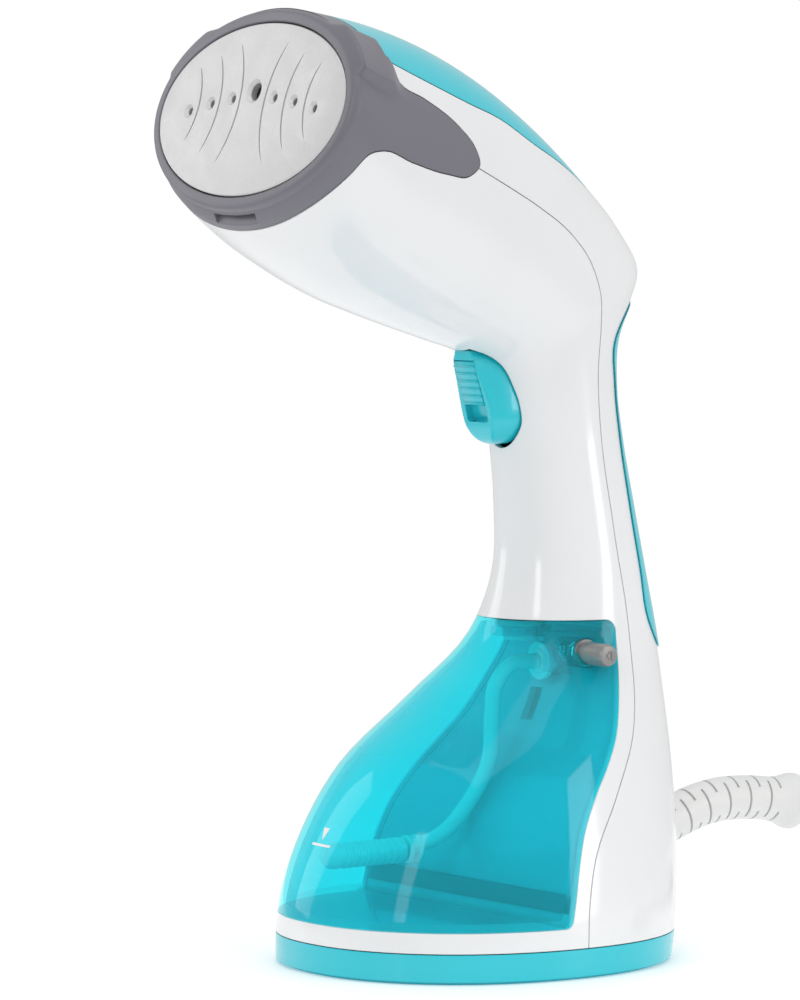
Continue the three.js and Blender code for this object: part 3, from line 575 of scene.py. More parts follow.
def envelope(grow=0.0, ears=False):
    """The body's outer form, grown by grow, with its front edge rounded."""
    rows = body_rows()
    count = 2 * RING_POINTS if ears else RING_POINTS
    rings = [section(row, grow, count) for row in rows]
    if grow >= 0:
        last = rows[-1]
        out = Vector((0, last[2] - last[0], last[3] - last[1])).cross(X).normalized()
        out = out if out.y < 0 else -out
        rings = rings[:-3]
        for k in range(7):
            turn = math.pi / 2 * k / 6
            inset = BEZEL_ROUND * (1 - math.cos(turn))
            back = BEZEL_ROUND * (1 - math.sin(turn))
            rings.append([p - out * back for p in section(last, grow - inset, count)])
        toe = rows[0]
        edge = 0.8
        first = [section(toe, grow - edge * (1 - math.sin(math.pi / 2 * k / 4)), count)
                 for k in range(5)]
        for k, ring in enumerate(first):
            rise = edge * (1 - math.cos(math.pi / 2 * k / 4))
            first[k] = [p + Z * rise for p in ring]
        rings = first + rings[1:]
    if ears:
        spine = [sum(ring, Vector()) / count for ring in rings]
        rings = [
            [p + (p - middle).normalized() * ear_height(p) for p in ring]
            for ring, middle in zip(rings, spine)]
    return loft(rings)


def shell():
    sizes, _ = settings()
    return cut(envelope(), envelope(-sizes.wall / MM))


def front_region(distance):
    return prism_x(offset([
        *smooth(PARTING, 5), (1.9, -20), (-130, -20), (-130, 262), (-80, 262), (-60, 258),
        (-40, 249)], distance))


def tank_outline():
    top = arc((-110, TANK_TOP), TANK_CORNER, TANK_REAR[0], 3)
    toe = arc(TANK_REAR[-1], TANK_TOE, (-110, SHELF_TOP), 3)
    rear = smooth([top[-1], *TANK_REAR, toe[0]], 5)
    return [*top[:-1], *rear, *toe[1:], (-110, SHELF_TOP), (-110, TANK_TOP)]


def tank_region(distance):
    return prism_x(offset(tank_outline(), distance))


def ring_region(distance):
    return prism_x(offset(
        [(-62, 300), *smooth(RING_EDGE, 5), (-86.5, 205), (-130, 205), (-130, 300)], distance))


def cover_region(distance):
    return prism_x(offset(
        [*smooth(COVER_EDGE, 5), (80, 250), (80, 310), (-61.7, 310)], distance))


def strip_region(distance):
    return prism_x(offset([*smooth(STRIP_EDGE, 5), (90, 92.5), (90, 206)], distance))


def above(level):
    return box(-FAR, FAR, -FAR, FAR, level, 400)


def below(level):
    return box(-FAR, FAR, -FAR, FAR, -50, level)


def trigger_front(distance, squeeze=1.0):
    half = smooth(TRIGGER_FRONT, 4)
    outline = half[:-1] + [(-x, z) for x, z in reversed(half)]
    return offset([(x * squeeze, z) for x, z in outline], distance)


# ---------------------------------------------------------------------------
# Materials
# ---------------------------------------------------------------------------
def shader(name):
    """A new material, its tree, its principled node and object coordinates."""
    material = bpy.data.materials.new(name)
    material.use_nodes = True
    tree = material.node_tree
    principled = tree.nodes["Principled BSDF"]
    coordinates = tree.nodes.new("ShaderNodeTexCoord")
    return material, tree, principled, coordinates.outputs["Object"]


def noise(tree, place, scale, detail=3.0, roughness=0.5):
    node = tree.nodes.new("ShaderNodeTexNoise")
    node.inputs["Scale"].default_value = scale
    node.inputs["Detail"].default_value = detail
    node.inputs["Roughness"].default_value = roughness
    tree.links.new(place, node.inputs["Vector"])
    return node.outputs["Fac"]


def ranged(tree, value, low, high):
    node = tree.nodes.new("ShaderNodeMapRange")
    node.inputs["From Min"].default_value = 0.3
    node.inputs["From Max"].default_value = 0.7
    node.inputs["To Min"].default_value = low
    node.inputs["To Max"].default_value = high
    tree.links.new(value, node.inputs["Value"])
    return node.outputs["Result"]


def tinted(tree, value, dark, light):
    node = tree.nodes.new("ShaderNodeMix")
    node.data_type = "RGBA"
    tree.links.new(value, node.inputs["Factor"])
    node.inputs["A"].default_value = (*dark, 1)
    node.inputs["B"].default_value = (*light, 1)
    return node.outputs["Result"]


def bumped(tree, principled, height, strength, distance, soft_edge=0.0):
    """Relief on the surface, over edges that look slightly rounded."""
    bump = tree.nodes.new("ShaderNodeBump")
    bump.inputs["Strength"].default_value = strength
    bump.inputs["Distance"].default_value = distance
    tree.links.new(height, bump.inputs["Height"])
    if soft_edge:
        edge = tree.nodes.new("ShaderNodeBevel")
        edge.samples = 4
        edge.inputs["Radius"].default_value = soft_edge
        tree.links.new(edge.outputs["Normal"], bump.inputs["Normal"])
    tree.links.new(bump.outputs["Normal"], principled.inputs["Normal"])


def shade(colour, factor):
    return tuple(min(1, c * factor) for c in colour)


def fed(tree, socket, value):
    """Sets an input to a number, or to another node's output."""
    if isinstance(value, bpy.types.NodeSocket):
        tree.links.new(value, socket)
    else:
        socket.default_value = value


def worked_out(tree, operation, first, second):
    """The output of a maths node on two numbers or outputs."""
    node = tree.nodes.new("ShaderNodeMath")
    node.operation = operation
    fed(tree, node.inputs[0], first)
    fed(tree, node.inputs[1], second)
    return node.outputs["Value"]


def mixed(tree, share, first, second):
    """Two shaders mixed; share is how much of the second one there is."""
    node = tree.nodes.new("ShaderNodeMixShader")
    fed(tree, node.inputs["Fac"], share)
    tree.links.new(first.outputs[0], node.inputs[1])
    tree.links.new(second.outputs[0], node.inputs[2])
    return node


def seen_through(tree, colour=(1, 1, 1, 1)):
    node = tree.nodes.new("ShaderNodeBsdfTransparent")
    fed(tree, node.inputs["Color"], colour)
    return node


def moulded(name, colour, roughness, grain=1400, relief=0.02, soft_edge=0.0004, coat=0.0,
            metallic=0.0):
    """Moulded plastic: faint colour mottle, uneven gloss and a fine skin texture."""
    material, tree, principled, place = shader(name)
    mottle = noise(tree, place, 35, 2)
    tree.links.new(
        tinted(tree, mottle, shade(colour, 0.97), shade(colour, 1.03)),
        principled.inputs["Base Color"])
    tree.links.new(
        ranged(tree, noise(tree, place, 90, 4), roughness - 0.025, roughness + 0.035),
        principled.inputs["Roughness"])
    principled.inputs["Metallic"].default_value = metallic
    principled.inputs["Coat Weight"].default_value = coat
    principled.inputs["Coat Roughness"].default_value = 0.06
    bumped(tree, principled, noise(tree, place, grain, 2), relief, 0.0002, soft_edge)
    return material


def blasted_metal(name, colour):
    """Blasted aluminium: bright, matt and finely grained."""
    material, tree, principled, place = shader(name)
    grain = noise(tree, place, 1500, 3, 0.7)
    tree.links.new(
        tinted(tree, ranged(tree, grain, 0, 1), shade(colour, 0.95), shade(colour, 1.03)),
        principled.inputs["Base Color"])
    tree.links.new(
        ranged(tree, noise(tree, place, 140, 4), 0.42, 0.52), principled.inputs["Roughness"])
    principled.inputs["Metallic"].default_value = 0.55
    bumped(tree, principled, grain, 0.16, 0.0002, 0.0002)
    return material


def drawn_metal(name, colour, roughness):
    """Bright drawn or pressed metal with fine lines round it."""
    material, tree, principled, place = shader(name)
    stretch = tree.nodes.new("ShaderNodeMapping")
    stretch.inputs["Scale"].default_value = (1, 1, 14)
    tree.links.new(place, stretch.inputs["Vector"])
    lines = noise(tree, stretch.outputs["Vector"], 260, 3)
    tree.links.new(
        tinted(tree, lines, shade(colour, 0.85), shade(colour, 1.08)),
        principled.inputs["Base Color"])
    tree.links.new(
        ranged(tree, lines, roughness - 0.06, roughness + 0.08), principled.inputs["Roughness"])
    principled.inputs["Metallic"].default_value = 1.0
    bumped(tree, principled, lines, 0.08, 0.0001)
    return material


LIGHT_INSIDE = (0.78, 0.97, 1, 1)


def clear_tinted(name, colour, body_colour, body_share, soft_edge=0.0):
    """Tinted clear plastic: a faint milky body, tint on what is behind it and a glossy face."""
    material, tree, principled, place = shader(name)
    tree.links.new(
        tinted(tree, noise(tree, place, 28, 2), shade(body_colour, 0.93),
               shade(body_colour, 1.06)), principled.inputs["Base Color"])
    tree.links.new(
        ranged(tree, noise(tree, place, 120, 3), 0.05, 0.12), principled.inputs["Roughness"])
    principled.inputs["Specular IOR Level"].default_value = 0.1
    bumped(tree, principled, noise(tree, place, 60, 2), 0.03, 0.0004, soft_edge)
    through = seen_through(
        tree, tinted(tree, noise(tree, place, 20, 1), shade(colour, 0.97), shade(colour, 1.02)))
    side = tree.nodes.new("ShaderNodeNewGeometry")
    front = worked_out(tree, "SUBTRACT", 1.0, side.outputs["Backfacing"])
    body = mixed(tree, worked_out(tree, "MULTIPLY", body_share, front), through, principled)
    gloss = tree.nodes.new("ShaderNodeBsdfGlossy")
    gloss.inputs["Color"].default_value = (0.95, 0.98, 1, 1)
    gloss.inputs["Roughness"].default_value = 0.04
    edge = tree.nodes.new("ShaderNodeLayerWeight")
    edge.inputs["Blend"].default_value = 0.22
    shine = mixed(
        tree, worked_out(tree, "MULTIPLY", edge.outputs["Fresnel"], front), body, gloss)
    ray = tree.nodes.new("ShaderNodeLightPath")
    lit = mixed(tree, ray.outputs["Is Shadow Ray"], shine, seen_through(tree, LIGHT_INSIDE))
    tree.links.new(lit.outputs["Shader"], tree.nodes["Material Output"].inputs["Surface"])
    return material


MATERIALS = {}


def material(name):
    """The steamer's finishes by name, each made when it is first asked for."""
    if name in MATERIALS:
        return MATERIALS[name]
    _, looks = settings()
    makers = {
        "gloss_white": lambda n: moulded(n, looks.white, 0.14, coat=0.3),
        "inner_white": lambda n: moulded(n, shade(looks.white, 0.9), 0.4, soft_edge=0),
        "gloss_cyan": lambda n: moulded(n, looks.cyan, 0.2, coat=0.25),
        "satin_grey": lambda n: moulded(n, looks.grey, 0.36, 1100, 0.05, 0.0007),
        "plate_metal": lambda n: blasted_metal(n, looks.plate),
        "cast_metal": lambda n: moulded(n, (0.07, 0.07, 0.073), 0.6, 500, 0.2, 0, metallic=0.6),
        "bright_steel": lambda n: drawn_metal(n, (0.62, 0.63, 0.64), 0.28),
        "black_plastic": lambda n: moulded(n, (0.02, 0.02, 0.022), 0.45, 900, 0.05, 0),
        "seal_rubber": lambda n: moulded(n, (0.045, 0.045, 0.048), 0.7, 700, 0.12, 0),
        "pale_rubber": lambda n: moulded(n, shade(looks.boot, 0.9), 0.55, 700, 0.08),
        "board_green": lambda n: moulded(n, (0.02, 0.16, 0.06), 0.4, 400, 0.3, 0),
        "tank_cyan": lambda n: clear_tinted(
            n, looks.tank, shade(looks.cyan, 1.2), 0.22, 0.0004),
        "clear_white": lambda n: moulded(n, (0.86, 0.93, 0.93), 0.25, 600, 0.05, 0),
        "button_silver": lambda n: moulded(n, looks.button, 0.3, 900, 0.04, metallic=0.35),
        "soft_boot": lambda n: moulded(n, looks.boot, 0.42, 900, 0.06),
        "cord_white": lambda n: moulded(n, looks.boot, 0.48, 1300, 0.12, 0),
        "mark_white": lambda n: moulded(n, (0.85, 0.86, 0.86), 0.5, 600, 0.05, 0),
    }
    MATERIALS[name] = makers[name](name)
    return MATERIALS[name]


# ---------------------------------------------------------------------------
# Finished pieces
# ---------------------------------------------------------------------------
def finished(obj, name, look, body, replaced=(), sharp=28):
    """Takes a working object to metres and gives it its name, material and body."""
    obj.name = name
    obj.data.name = name
    if obj.type == "MESH":
        work = bmesh.new()
        work.from_mesh(obj.data)
        bmesh.ops.remove_doubles(work, verts=work.verts, dist=0.002)
        bmesh.ops.scale(work, vec=(MM, MM, MM), verts=work.verts)
        work.to_mesh(obj.data)
        work.free()
        obj.data.shade_smooth()
        obj.data.set_sharp_from_angle(angle=math.radians(sharp))
    obj.data.materials.clear()
    obj.data.materials.append(material(look))
    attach(obj, body)
    if replaced:
        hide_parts(*replaced)
    return obj


# ---------------------------------------------------------------------------
# Geometry node trees
# ---------------------------------------------------------------------------
def node_tree(name, inputs):
    """A geometry tree with a geometry in and out and the given inputs (name, kind, value)."""
    tree = bpy.data.node_groups.new(name, "GeometryNodeTree")
    tree.interface.new_socket("Geometry", in_out="INPUT", socket_type="NodeSocketGeometry")
    tree.interface.new_socket("Geometry", in_out="OUTPUT", socket_type="NodeSocketGeometry")
    for label, kind, value in inputs:
        socket = tree.interface.new_socket(label, in_out="INPUT", socket_type=kind)
        if value is not None:
            socket.default_value = value
    start = tree.nodes.new("NodeGroupInput")
    end = tree.nodes.new("NodeGroupOutput")
    return tree, start, end


def placed(tree, kind, mode=None, **values):
    """A node with its input sockets set by name: a number, or another node's output."""
    node = tree.nodes.new(kind)
    if mode:
        node.mode = mode
    for label, value in values.items():
        fed(tree, node.inputs[label.replace("_", " ")], value)
    return node


def with_nodes(obj, tree, values):
    """Gives an object a nodes modifier with its inputs set by identifier."""
    modifier = obj.modifiers.new(tree.name, "NODES")
    modifier.node_group = tree
    for item in tree.interface.items_tree:
        if item.in_out == "INPUT" and item.name in values:
            modifier[item.identifier] = values[item.name]
    return obj


def painted_copies(tree, start, end, copies):
    """Makes a node's copies real, gives them the tree's material and sends them out."""
    real = placed(
        tree, "GeometryNodeRealizeInstances", Geometry=copies.outputs["Instances"])
    paint = placed(
        tree, "GeometryNodeSetMaterial", Geometry=real.outputs["Geometry"],
        Material=start.outputs["Material"])
    tree.links.new(paint.outputs["Geometry"], end.inputs["Geometry"])


def slot_tree():
    """Curved slots set across a path, each pair turned a quarter from the last."""
    tree, start, end = node_tree("boot_slots", [
        ("Pitch", "NodeSocketFloat", 4.0), ("Width", "NodeSocketFloat", 0.75),
        ("Depth", "NodeSocketFloat", 1.5), ("Radius", "NodeSocketFloat", 7.0),
        ("Span", "NodeSocketFloat", math.radians(112)), ("Material", "NodeSocketMaterial", None)])
    half_span = worked_out(tree, "MULTIPLY", start.outputs["Span"], -0.5)
    ring = placed(
        tree, "GeometryNodeCurveArc", Resolution=28, Radius=start.outputs["Radius"],
        Start_Angle=half_span, Sweep_Angle=start.outputs["Span"])
    twice = worked_out(tree, "MULTIPLY", start.outputs["Depth"], 2.0)
    bar = placed(
        tree, "GeometryNodeCurvePrimitiveQuadrilateral", Width=twice,
        Height=start.outputs["Width"])
    slot = placed(
        tree, "GeometryNodeCurveToMesh", Curve=ring.outputs["Curve"],
        Profile_Curve=bar.outputs["Curve"], Fill_Caps=True)
    opposite = placed(
        tree, "GeometryNodeTransform", Geometry=slot.outputs["Mesh"],
        Rotation=(0, 0, math.pi))
    pair = tree.nodes.new("GeometryNodeJoinGeometry")
    tree.links.new(slot.outputs["Mesh"], pair.inputs["Geometry"])
    tree.links.new(opposite.outputs["Geometry"], pair.inputs["Geometry"])
    path = placed(
        tree, "GeometryNodeResampleCurve", "LENGTH", Curve=start.outputs["Geometry"],
        Length=start.outputs["Pitch"])
    tangent = tree.nodes.new("GeometryNodeInputTangent")
    facing = placed(
        tree, "FunctionNodeAlignRotationToVector", Vector=tangent.outputs["Tangent"])
    facing.axis = "Z"
    index = tree.nodes.new("GeometryNodeInputIndex")
    odd = worked_out(tree, "MODULO", index.outputs["Index"], 2.0)
    quarter = worked_out(tree, "MULTIPLY", odd, math.pi / 2)
    twist = placed(
        tree, "FunctionNodeAxisAngleToRotation", Axis=(0, 0, 1), Angle=quarter)
    turn = placed(
        tree, "FunctionNodeRotateRotation", Rotation=facing.outputs["Rotation"],
        Rotate_By=twist.outputs["Rotation"])
    turn.rotation_space = "LOCAL"
    copies = placed(
        tree, "GeometryNodeInstanceOnPoints", Points=path.outputs["Curve"],
        Instance=pair.outputs["Geometry"], Rotation=turn.outputs["Rotation"])
    painted_copies(tree, start, end, copies)
    return tree


def copies_tree(name):
    """Copies of a shape on the incoming points."""
    tree, start, end = node_tree(name, [
        ("Shape", "NodeSocketObject", None), ("Material", "NodeSocketMaterial", None)])
    shape = placed(tree, "GeometryNodeObjectInfo", Object=start.outputs["Shape"])
    copies = placed(
        tree, "GeometryNodeInstanceOnPoints", Points=start.outputs["Geometry"],
        Instance=shape.outputs["Geometry"])
    painted_copies(tree, start, end, copies)
    return tree


def copied_to(shape, points, look, name):
    """The shape copied to each point, as one working object."""
    mesh = bpy.data.meshes.new("points")
    mesh.from_pydata([tuple(p) for p in points], [], [])
    carrier = baked(with_nodes(
        linked("points", mesh), copies_tree(name), {"Shape": shape, "Material": material(look)}))
    form = shape.data
    bpy.data.objects.remove(shape)
    bpy.data.meshes.remove(form)
    return carrier


# ---------------------------------------------------------------------------
# Cord
# ---------------------------------------------------------------------------
def coil_route():
    """The coil's turns: tracks side by side in two layers, with a short jog between tracks."""
    top, bottom = COIL["layers"]
    steps = round(COIL["turns"] * POINTS_A_TURN)

    def track(number):
        number = min(number, len(COIL_TRACKS) - 1)
        radius = COIL["outer"] - COIL_TRACKS[number] * COIL["pitch"]
        return radius, top if number < len(COIL_TRACKS) / 2 else bottom

    route = []
    for i in range(steps + 1):
        turns = i / POINTS_A_TURN
        number = int(turns + 1e-9)
        share = min(1, max(0, (turns - number - JOG[0]) / (JOG[1] - JOG[0])))
        share = share * share * (3 - 2 * share)
        (r0, z0), (r1, z1) = track(number), track(number + 1)
        radius = r0 + (r1 - r0) * share
        if z0 != z1:
            radius -= JOG_TUCK * math.sin(math.pi * share)
        angle = math.pi - 2 * math.pi * turns
        route.append((
            COIL["x"] + radius * math.cos(angle), COIL["y"] + radius * math.sin(angle),
            z0 + (z1 - z0) * share))
    return route


def cord_curve(route, radius):
    """One open smooth spline with a round section, in metres."""
    curve = bpy.data.curves.new("mains_cord", "CURVE")
    curve.dimensions = "3D"
    curve.resolution_u = 4
    curve.bevel_depth = radius
    curve.bevel_resolution = 5
    curve.use_fill_caps = True
    spline = curve.splines.new("NURBS")
    spline.points.add(len(route) - 1)
    for point, place in zip(spline.points, route):
        point.co = (*(c * MM for c in place), 1)
    spline.order_u = 4
    spline.use_endpoint_u = True
    return linked("mains_cord", curve)


def plug_form():
    """A moulded plug: a waisted grip that narrows to a ribbed relief."""
    x, z = PLUG["x"], PLUG["z"]
    half, tall = PLUG["width"] / 2, PLUG["height"] / 2
    rows = [
        (0, 0.90, 0.88), (0.5, 0.97, 0.95), (1.4, 1, 1), (9, 0.99, 1), (16, 0.88, 0.95),
        (23, 0.8, 0.9), (29, 0.78, 0.86), (32, 0.7, 0.83), (33.4, 0.62, 0.78), (34, 0.56, 0.74)]
    rings = []
    for along, wide, high in smooth(rows, 4, 1):
        ring = []
        for a, b in oval(1, 1, 64):
            flat = [math.copysign(abs(v) ** 0.5, v) for v in (a, b)]
            ring.append(Vector((
                x + flat[0] * half * wide, PLUG["tip"] + along, z + flat[1] * tall * high)))
        rings.append(ring)
    body = loft(rings)
    ribs = [(0, -1), (6, -1)]
    for k in range(4):
        near = 0.2 + 2.9 * k
        ribs += [(6.1 - 0.25 * k, near), (6.1 - 0.25 * k, near + 1.9),
                 (4.9 - 0.1 * k, near + 2.1), (4.9 - 0.1 * k, near + 2.8)]
    ribs += [(4.6, 11.9), (0, 11.9)]
    relief = turned(ribs, (x, PLUG["back"] - 0.5, z), Y)
    slots = [
        box(at - 0.85, at + 0.85, PLUG["tip"] - 1, PLUG["tip"] + 6.1, z - 3.25, z + 3.25)
        for at in (x - PLUG["spread"], x + PLUG["spread"])]
    grip = [
        plug_groove(x, z, PLUG["tip"] + 18 + 3.2 * k, side)
        for k in range(4) for side in (-1, 1)]
    socket = rod((x, PLUG["back"] + 3, z), (x, PLUG["back"] + 22, z), PLUG["socket"])
    return cut(join(body, relief), *slots, *grip, socket)


def plug_groove(x, z, along, side):
    """A finger groove across the plug's flat side."""
    top = z + side * (PLUG["height"] / 2 * 0.9 + 0.35)
    return rod((x - 6, along, top), (x + 6, along, top), 1.0, 20)


def blade_form(side):
    """A flat plug blade with a rounded tip and a hole near its end."""
    centre = PLUG["x"] + side * PLUG["spread"]
    tip, root = PLUG["tip"] - PLUG["blade"], PLUG["tip"] + 5.7
    z = PLUG["z"]
    outline = [(root, z - 3.15), (root, z + 3.15)]
    outline += arc((root, z + 3.15), (tip, z + 3.15), (tip, z), 2.2, 6)
    outline += arc((tip, z), (tip, z - 3.15), (root, z - 3.15), 2.2, 6)
    blade = bevelled(prism_x(outline, centre - 0.75, centre + 0.75), 0.2, 2, 40)
    return cut(blade, rod((centre - 2, tip + 3.4, z), (centre + 2, tip + 3.4, z), 1.3, 32))


def tie_form():
    """A soft strap round the coil's bundle with an overlapped end."""
    half, tall = 1.5 * COIL["pitch"] + 4.1, 14.4
    place = Vector((COIL["x"], COIL["y"] + COIL["outer"] - 1.5 * COIL["pitch"], 0.04))
    outer = eased(slab(-half - 0.3, half + 0.3, 0, tall + 0.5), 3.6)
    inner = eased(slab(-half, half, 0.3, tall + 0.2), 3.4)
    strap = cut(
        prism(outer, Y, Z, place, -6, 6), prism(inner, Y, Z, place, -7, 7))
    tail = prism(
        [(-4, tall + 0.4), (7, tall + 0.4), (7.6, tall + 0.9), (-4, tall + 0.9)], Y, Z, place,
        -5.4, 5.4)
    return join(strap, bevelled(tail, 0.15, 2))


class STEAMER_OT_cord(bpy.types.Operator):
    """Make the mains cord, its plug and the tie round its coil"""

    bl_idname = "steamer.cord"
    bl_label = "Mains cord"

    def execute(self, context):
        sizes, _ = settings()
        cord = cord_curve([*LEAD_ROUTE, *coil_route(), *TAIL_ROUTE], sizes.cord_diameter / 2)
        finished(cord, "mains_cord", "cord_white", "body",
                 ["cord_lead", "cord_coil", "cord_tail"])
        plug = finished(plug_form(), "mains_plug", "cord_white", "body",
                        ["plug_body"])
        blades = [
            finished(blade_form(side), f"plug_blade_{word}", "bright_steel", "body",
                     [f"plug_blade_{number}"])
            for side, word, number in ((-1, "near", 1), (1, "far", 2))]
        tie = finished(tie_form(), "cord_tie", "pale_rubber", "body")
        return {"FINISHED"}


def boot_form():
    """The flexible boot round the cord, cut by alternating slots."""
    sizes, _ = settings()
    route = smooth(BOOT_ROUTE, 8, 3)
    length = sum(math.dist(a, b) for a, b in zip(route, route[1:]))

    def radius_at(share):
        left = (1 - share) * length
        if left > BOOT_FLARE["start"]:
            return BOOT_RADIUS
        t = min(1, (BOOT_FLARE["start"] - left) / BOOT_FLARE["full"])
        return (BOOT_RADIUS + BOOT_FLARE["rise"] * t ** 1.6
                - BOOT_FLARE["lip"] * max(0, 1 - left) ** 2)

    boot = sweep(route, radius_at, 64)
    path = bpy.data.curves.new("path", "CURVE")
    path.dimensions = "3D"
    spline = path.splines.new("POLY")
    line = [p for p in route if BOOT_SLOTS[0] < p[1] < BOOT_SLOTS[1]]
    spline.points.add(len(line) - 1)
    for point, place in zip(spline.points, line):
        point.co = (*place, 1)
    carrier = with_nodes(linked("path", path), slot_tree(), {
        "Pitch": sizes.slot_pitch / MM, "Width": sizes.slot_width / MM,
        "Depth": sizes.slot_depth / MM, "Radius": float(BOOT_RADIUS),
        "Material": material("soft_boot")})
    mesh = bpy.data.meshes.new_from_object(
        carrier.evaluated_get(bpy.context.evaluated_depsgraph_get()))
    bpy.data.objects.remove(carrier)
    bpy.data.curves.remove(path)
    slots = linked("slots", mesh)
    root = Vector(BOOT_ROUTE[0])
    flange = turned(
        eased([(0, 0), (9.5, 0), (9.5, 1.8), (0, 1.8)], 0.4, False),
        root + Vector((0, -3.2, -1)), Y)
    neck = rod(root + Vector((0, -2, -1)), root + Vector((0, 1, 0.2)), BOOT_RADIUS - 0.6)
    end = Vector(route[-1])
    along = (end - Vector(route[-2])).normalized()
    mouth = turned(
        [(0, -9), (3.8, -9), (3.8, -2), (5.6, 0.4), (5.6, 3), (0, 3)], end, along)
    return cut(join(cut(boot, slots), flange, neck), mouth)


class STEAMER_OT_boot(bpy.types.Operator):
    """Make the flexible boot where the cord leaves the body"""

    bl_idname = "steamer.boot"
    bl_label = "Cord boot"

    def execute(self, context):
        finished(boot_form(), "cord_boot", "soft_boot", "body", ["strain_relief"])
        return {"FINISHED"}


# ---------------------------------------------------------------------------
# Body shells
# ---------------------------------------------------------------------------
def base_trim_form(seam, wall):
    tray = cut(
        common(envelope(), below(TRIM_TOP - seam)), common(envelope(-wall), above(2.5)),
        cut(below(FOOT_STEP["height"]), envelope(-FOOT_STEP["inset"])))
    bosses = [rod((x, y, 1), (x, y, TRIM_TOP - seam), 5) for x, y in SCREW_PLACES]
    holes = [rod((x, y, -1), (x, y, 20), SCREW["radius"] + 0.3) for x, y in SCREW_PLACES]
    sinks = [
        turned([(0, -1), (SCREW["head"] + 0.9, -1), (SCREW["head"] + 0.9, 0),
                (SCREW["head"] + 0.3, 0.6), (SCREW["head"] + 0.3, SCREW["head_top"] + 0.3),
                (0, SCREW["head_top"] + 0.3)], (x, y, 0), Z) for x, y in SCREW_PLACES]
    return cut(join(tray, *bosses), *holes, *sinks)


def front_shell_form(seam):
    skin = cut(
        common(shell(), front_region(-seam), above(TRIM_TOP + seam)), ring_region(seam),
        tank_region(0))
    shelf = common(
        envelope(), box(-FAR, FAR, -FAR, -3.9, SHELF_TOP - 2.3, SHELF_TOP))
    outline = trigger_front(OPENING["gap"])
    dropped = [(x, z - OPENING["drop"]) for x, z in outline]
    openings = [prism_y(edge, OPENING["front"], OPENING["back"]) for edge in (outline, dropped)]
    return cut(join(skin, shelf), *openings)


def rear_shell_form(seam, gap, proud):
    skin = cut(
        common(shell(), above(TRIM_TOP + seam)), front_region(seam), ring_region(seam),
        cover_region(seam))
    pocket = cut(strip_region(gap), envelope(proud - STRIP_THICK - gap))
    root = Vector(BOOT_ROUTE[0])
    grommet = rod(
        root + Vector((0, -4, -0.8)), root + Vector((0, 10, 2)), BOOT_RADIUS + gap)
    return cut(skin, pocket, grommet)


def tank_bay_form(wall, gap):
    lining = common(
        cut(tank_region(wall + gap), tank_region(gap)), envelope(-wall - gap),
        box(*BAY_ROOM))
    passage = rod((0, 25, OUTLET["z"]), (0, 50, OUTLET["z"]), OUTLET["radius"] + 2 * gap)
    lift = rod((0, CAP["y"], 100), (0, CAP["y"], 115), CAP["radius"] + 3 * gap)
    return cut(lining, passage, lift, box(*LATCH_WINDOW))


class STEAMER_OT_shells(bpy.types.Operator):
    """Make the body's shells, cover, strip, lining and foot"""

    bl_idname = "steamer.shells"
    bl_label = "Body shells"

    def execute(self, context):
        sizes, _ = settings()
        wall, seam, gap = sizes.wall / MM, sizes.seam / MM, sizes.gap / MM
        proud = sizes.strip_proud / MM
        finished(base_trim_form(seam, wall), "foot_trim", "gloss_cyan", "body",
                 ["base_trim"])
        finished(front_shell_form(seam), "front_casing", "gloss_white", "body",
                 ["front_shell"])
        finished(rear_shell_form(seam, gap, proud), "rear_casing", "gloss_white", "body",
                 ["rear_shell"])
        cover = common(cut(shell(), ring_region(seam)), cover_region(-seam))
        finished(cover, "top_cover_skin", "gloss_cyan", "body", ["top_cover"])
        strip = cut(
            common(envelope(proud), strip_region(0)), envelope(proud - STRIP_THICK))
        finished(strip, "back_strip_skin", "gloss_cyan", "body", ["back_strip"])
        finished(tank_bay_form(wall, gap), "tank_lining", "inner_white", "body",
                 ["tank_bay"])
        return {"FINISHED"}


def screw_form():
    """A countersunk screw with a cross recess, pointing up from the foot."""
    radius, head = SCREW["radius"], SCREW["head"]
    body = turned(
        eased([(0, SCREW["low"]), (head, SCREW["low"]), (head, SCREW["head_top"]),
               (radius, SCREW["head_top"] + 0.01), (radius, SCREW["top"]), (0, SCREW["top"])],
              0.35, False), (0, 0, 0), Z, 40)
    bars = [box(-a, a, -b, b, 0, SCREW["low"] + 1.2) for a, b in ((1.8, 0.42), (0.42, 1.8))]
    return cut(body, *bars)


class STEAMER_OT_screws(bpy.types.Operator):
    """Make the four screws in the foot"""

    bl_idname = "steamer.screws"
    bl_label = "Foot screws"

    def execute(self, context):
        screws = copied_to(
            screw_form(), [(x, y, 0) for x, y in SCREW_PLACES], "bright_steel", "foot_screws")
        finished(screws, "foot_screws", "bright_steel", "body",
                 [f"base_screw_{n}" for n in range(1, 5)])
        return {"FINISHED"}


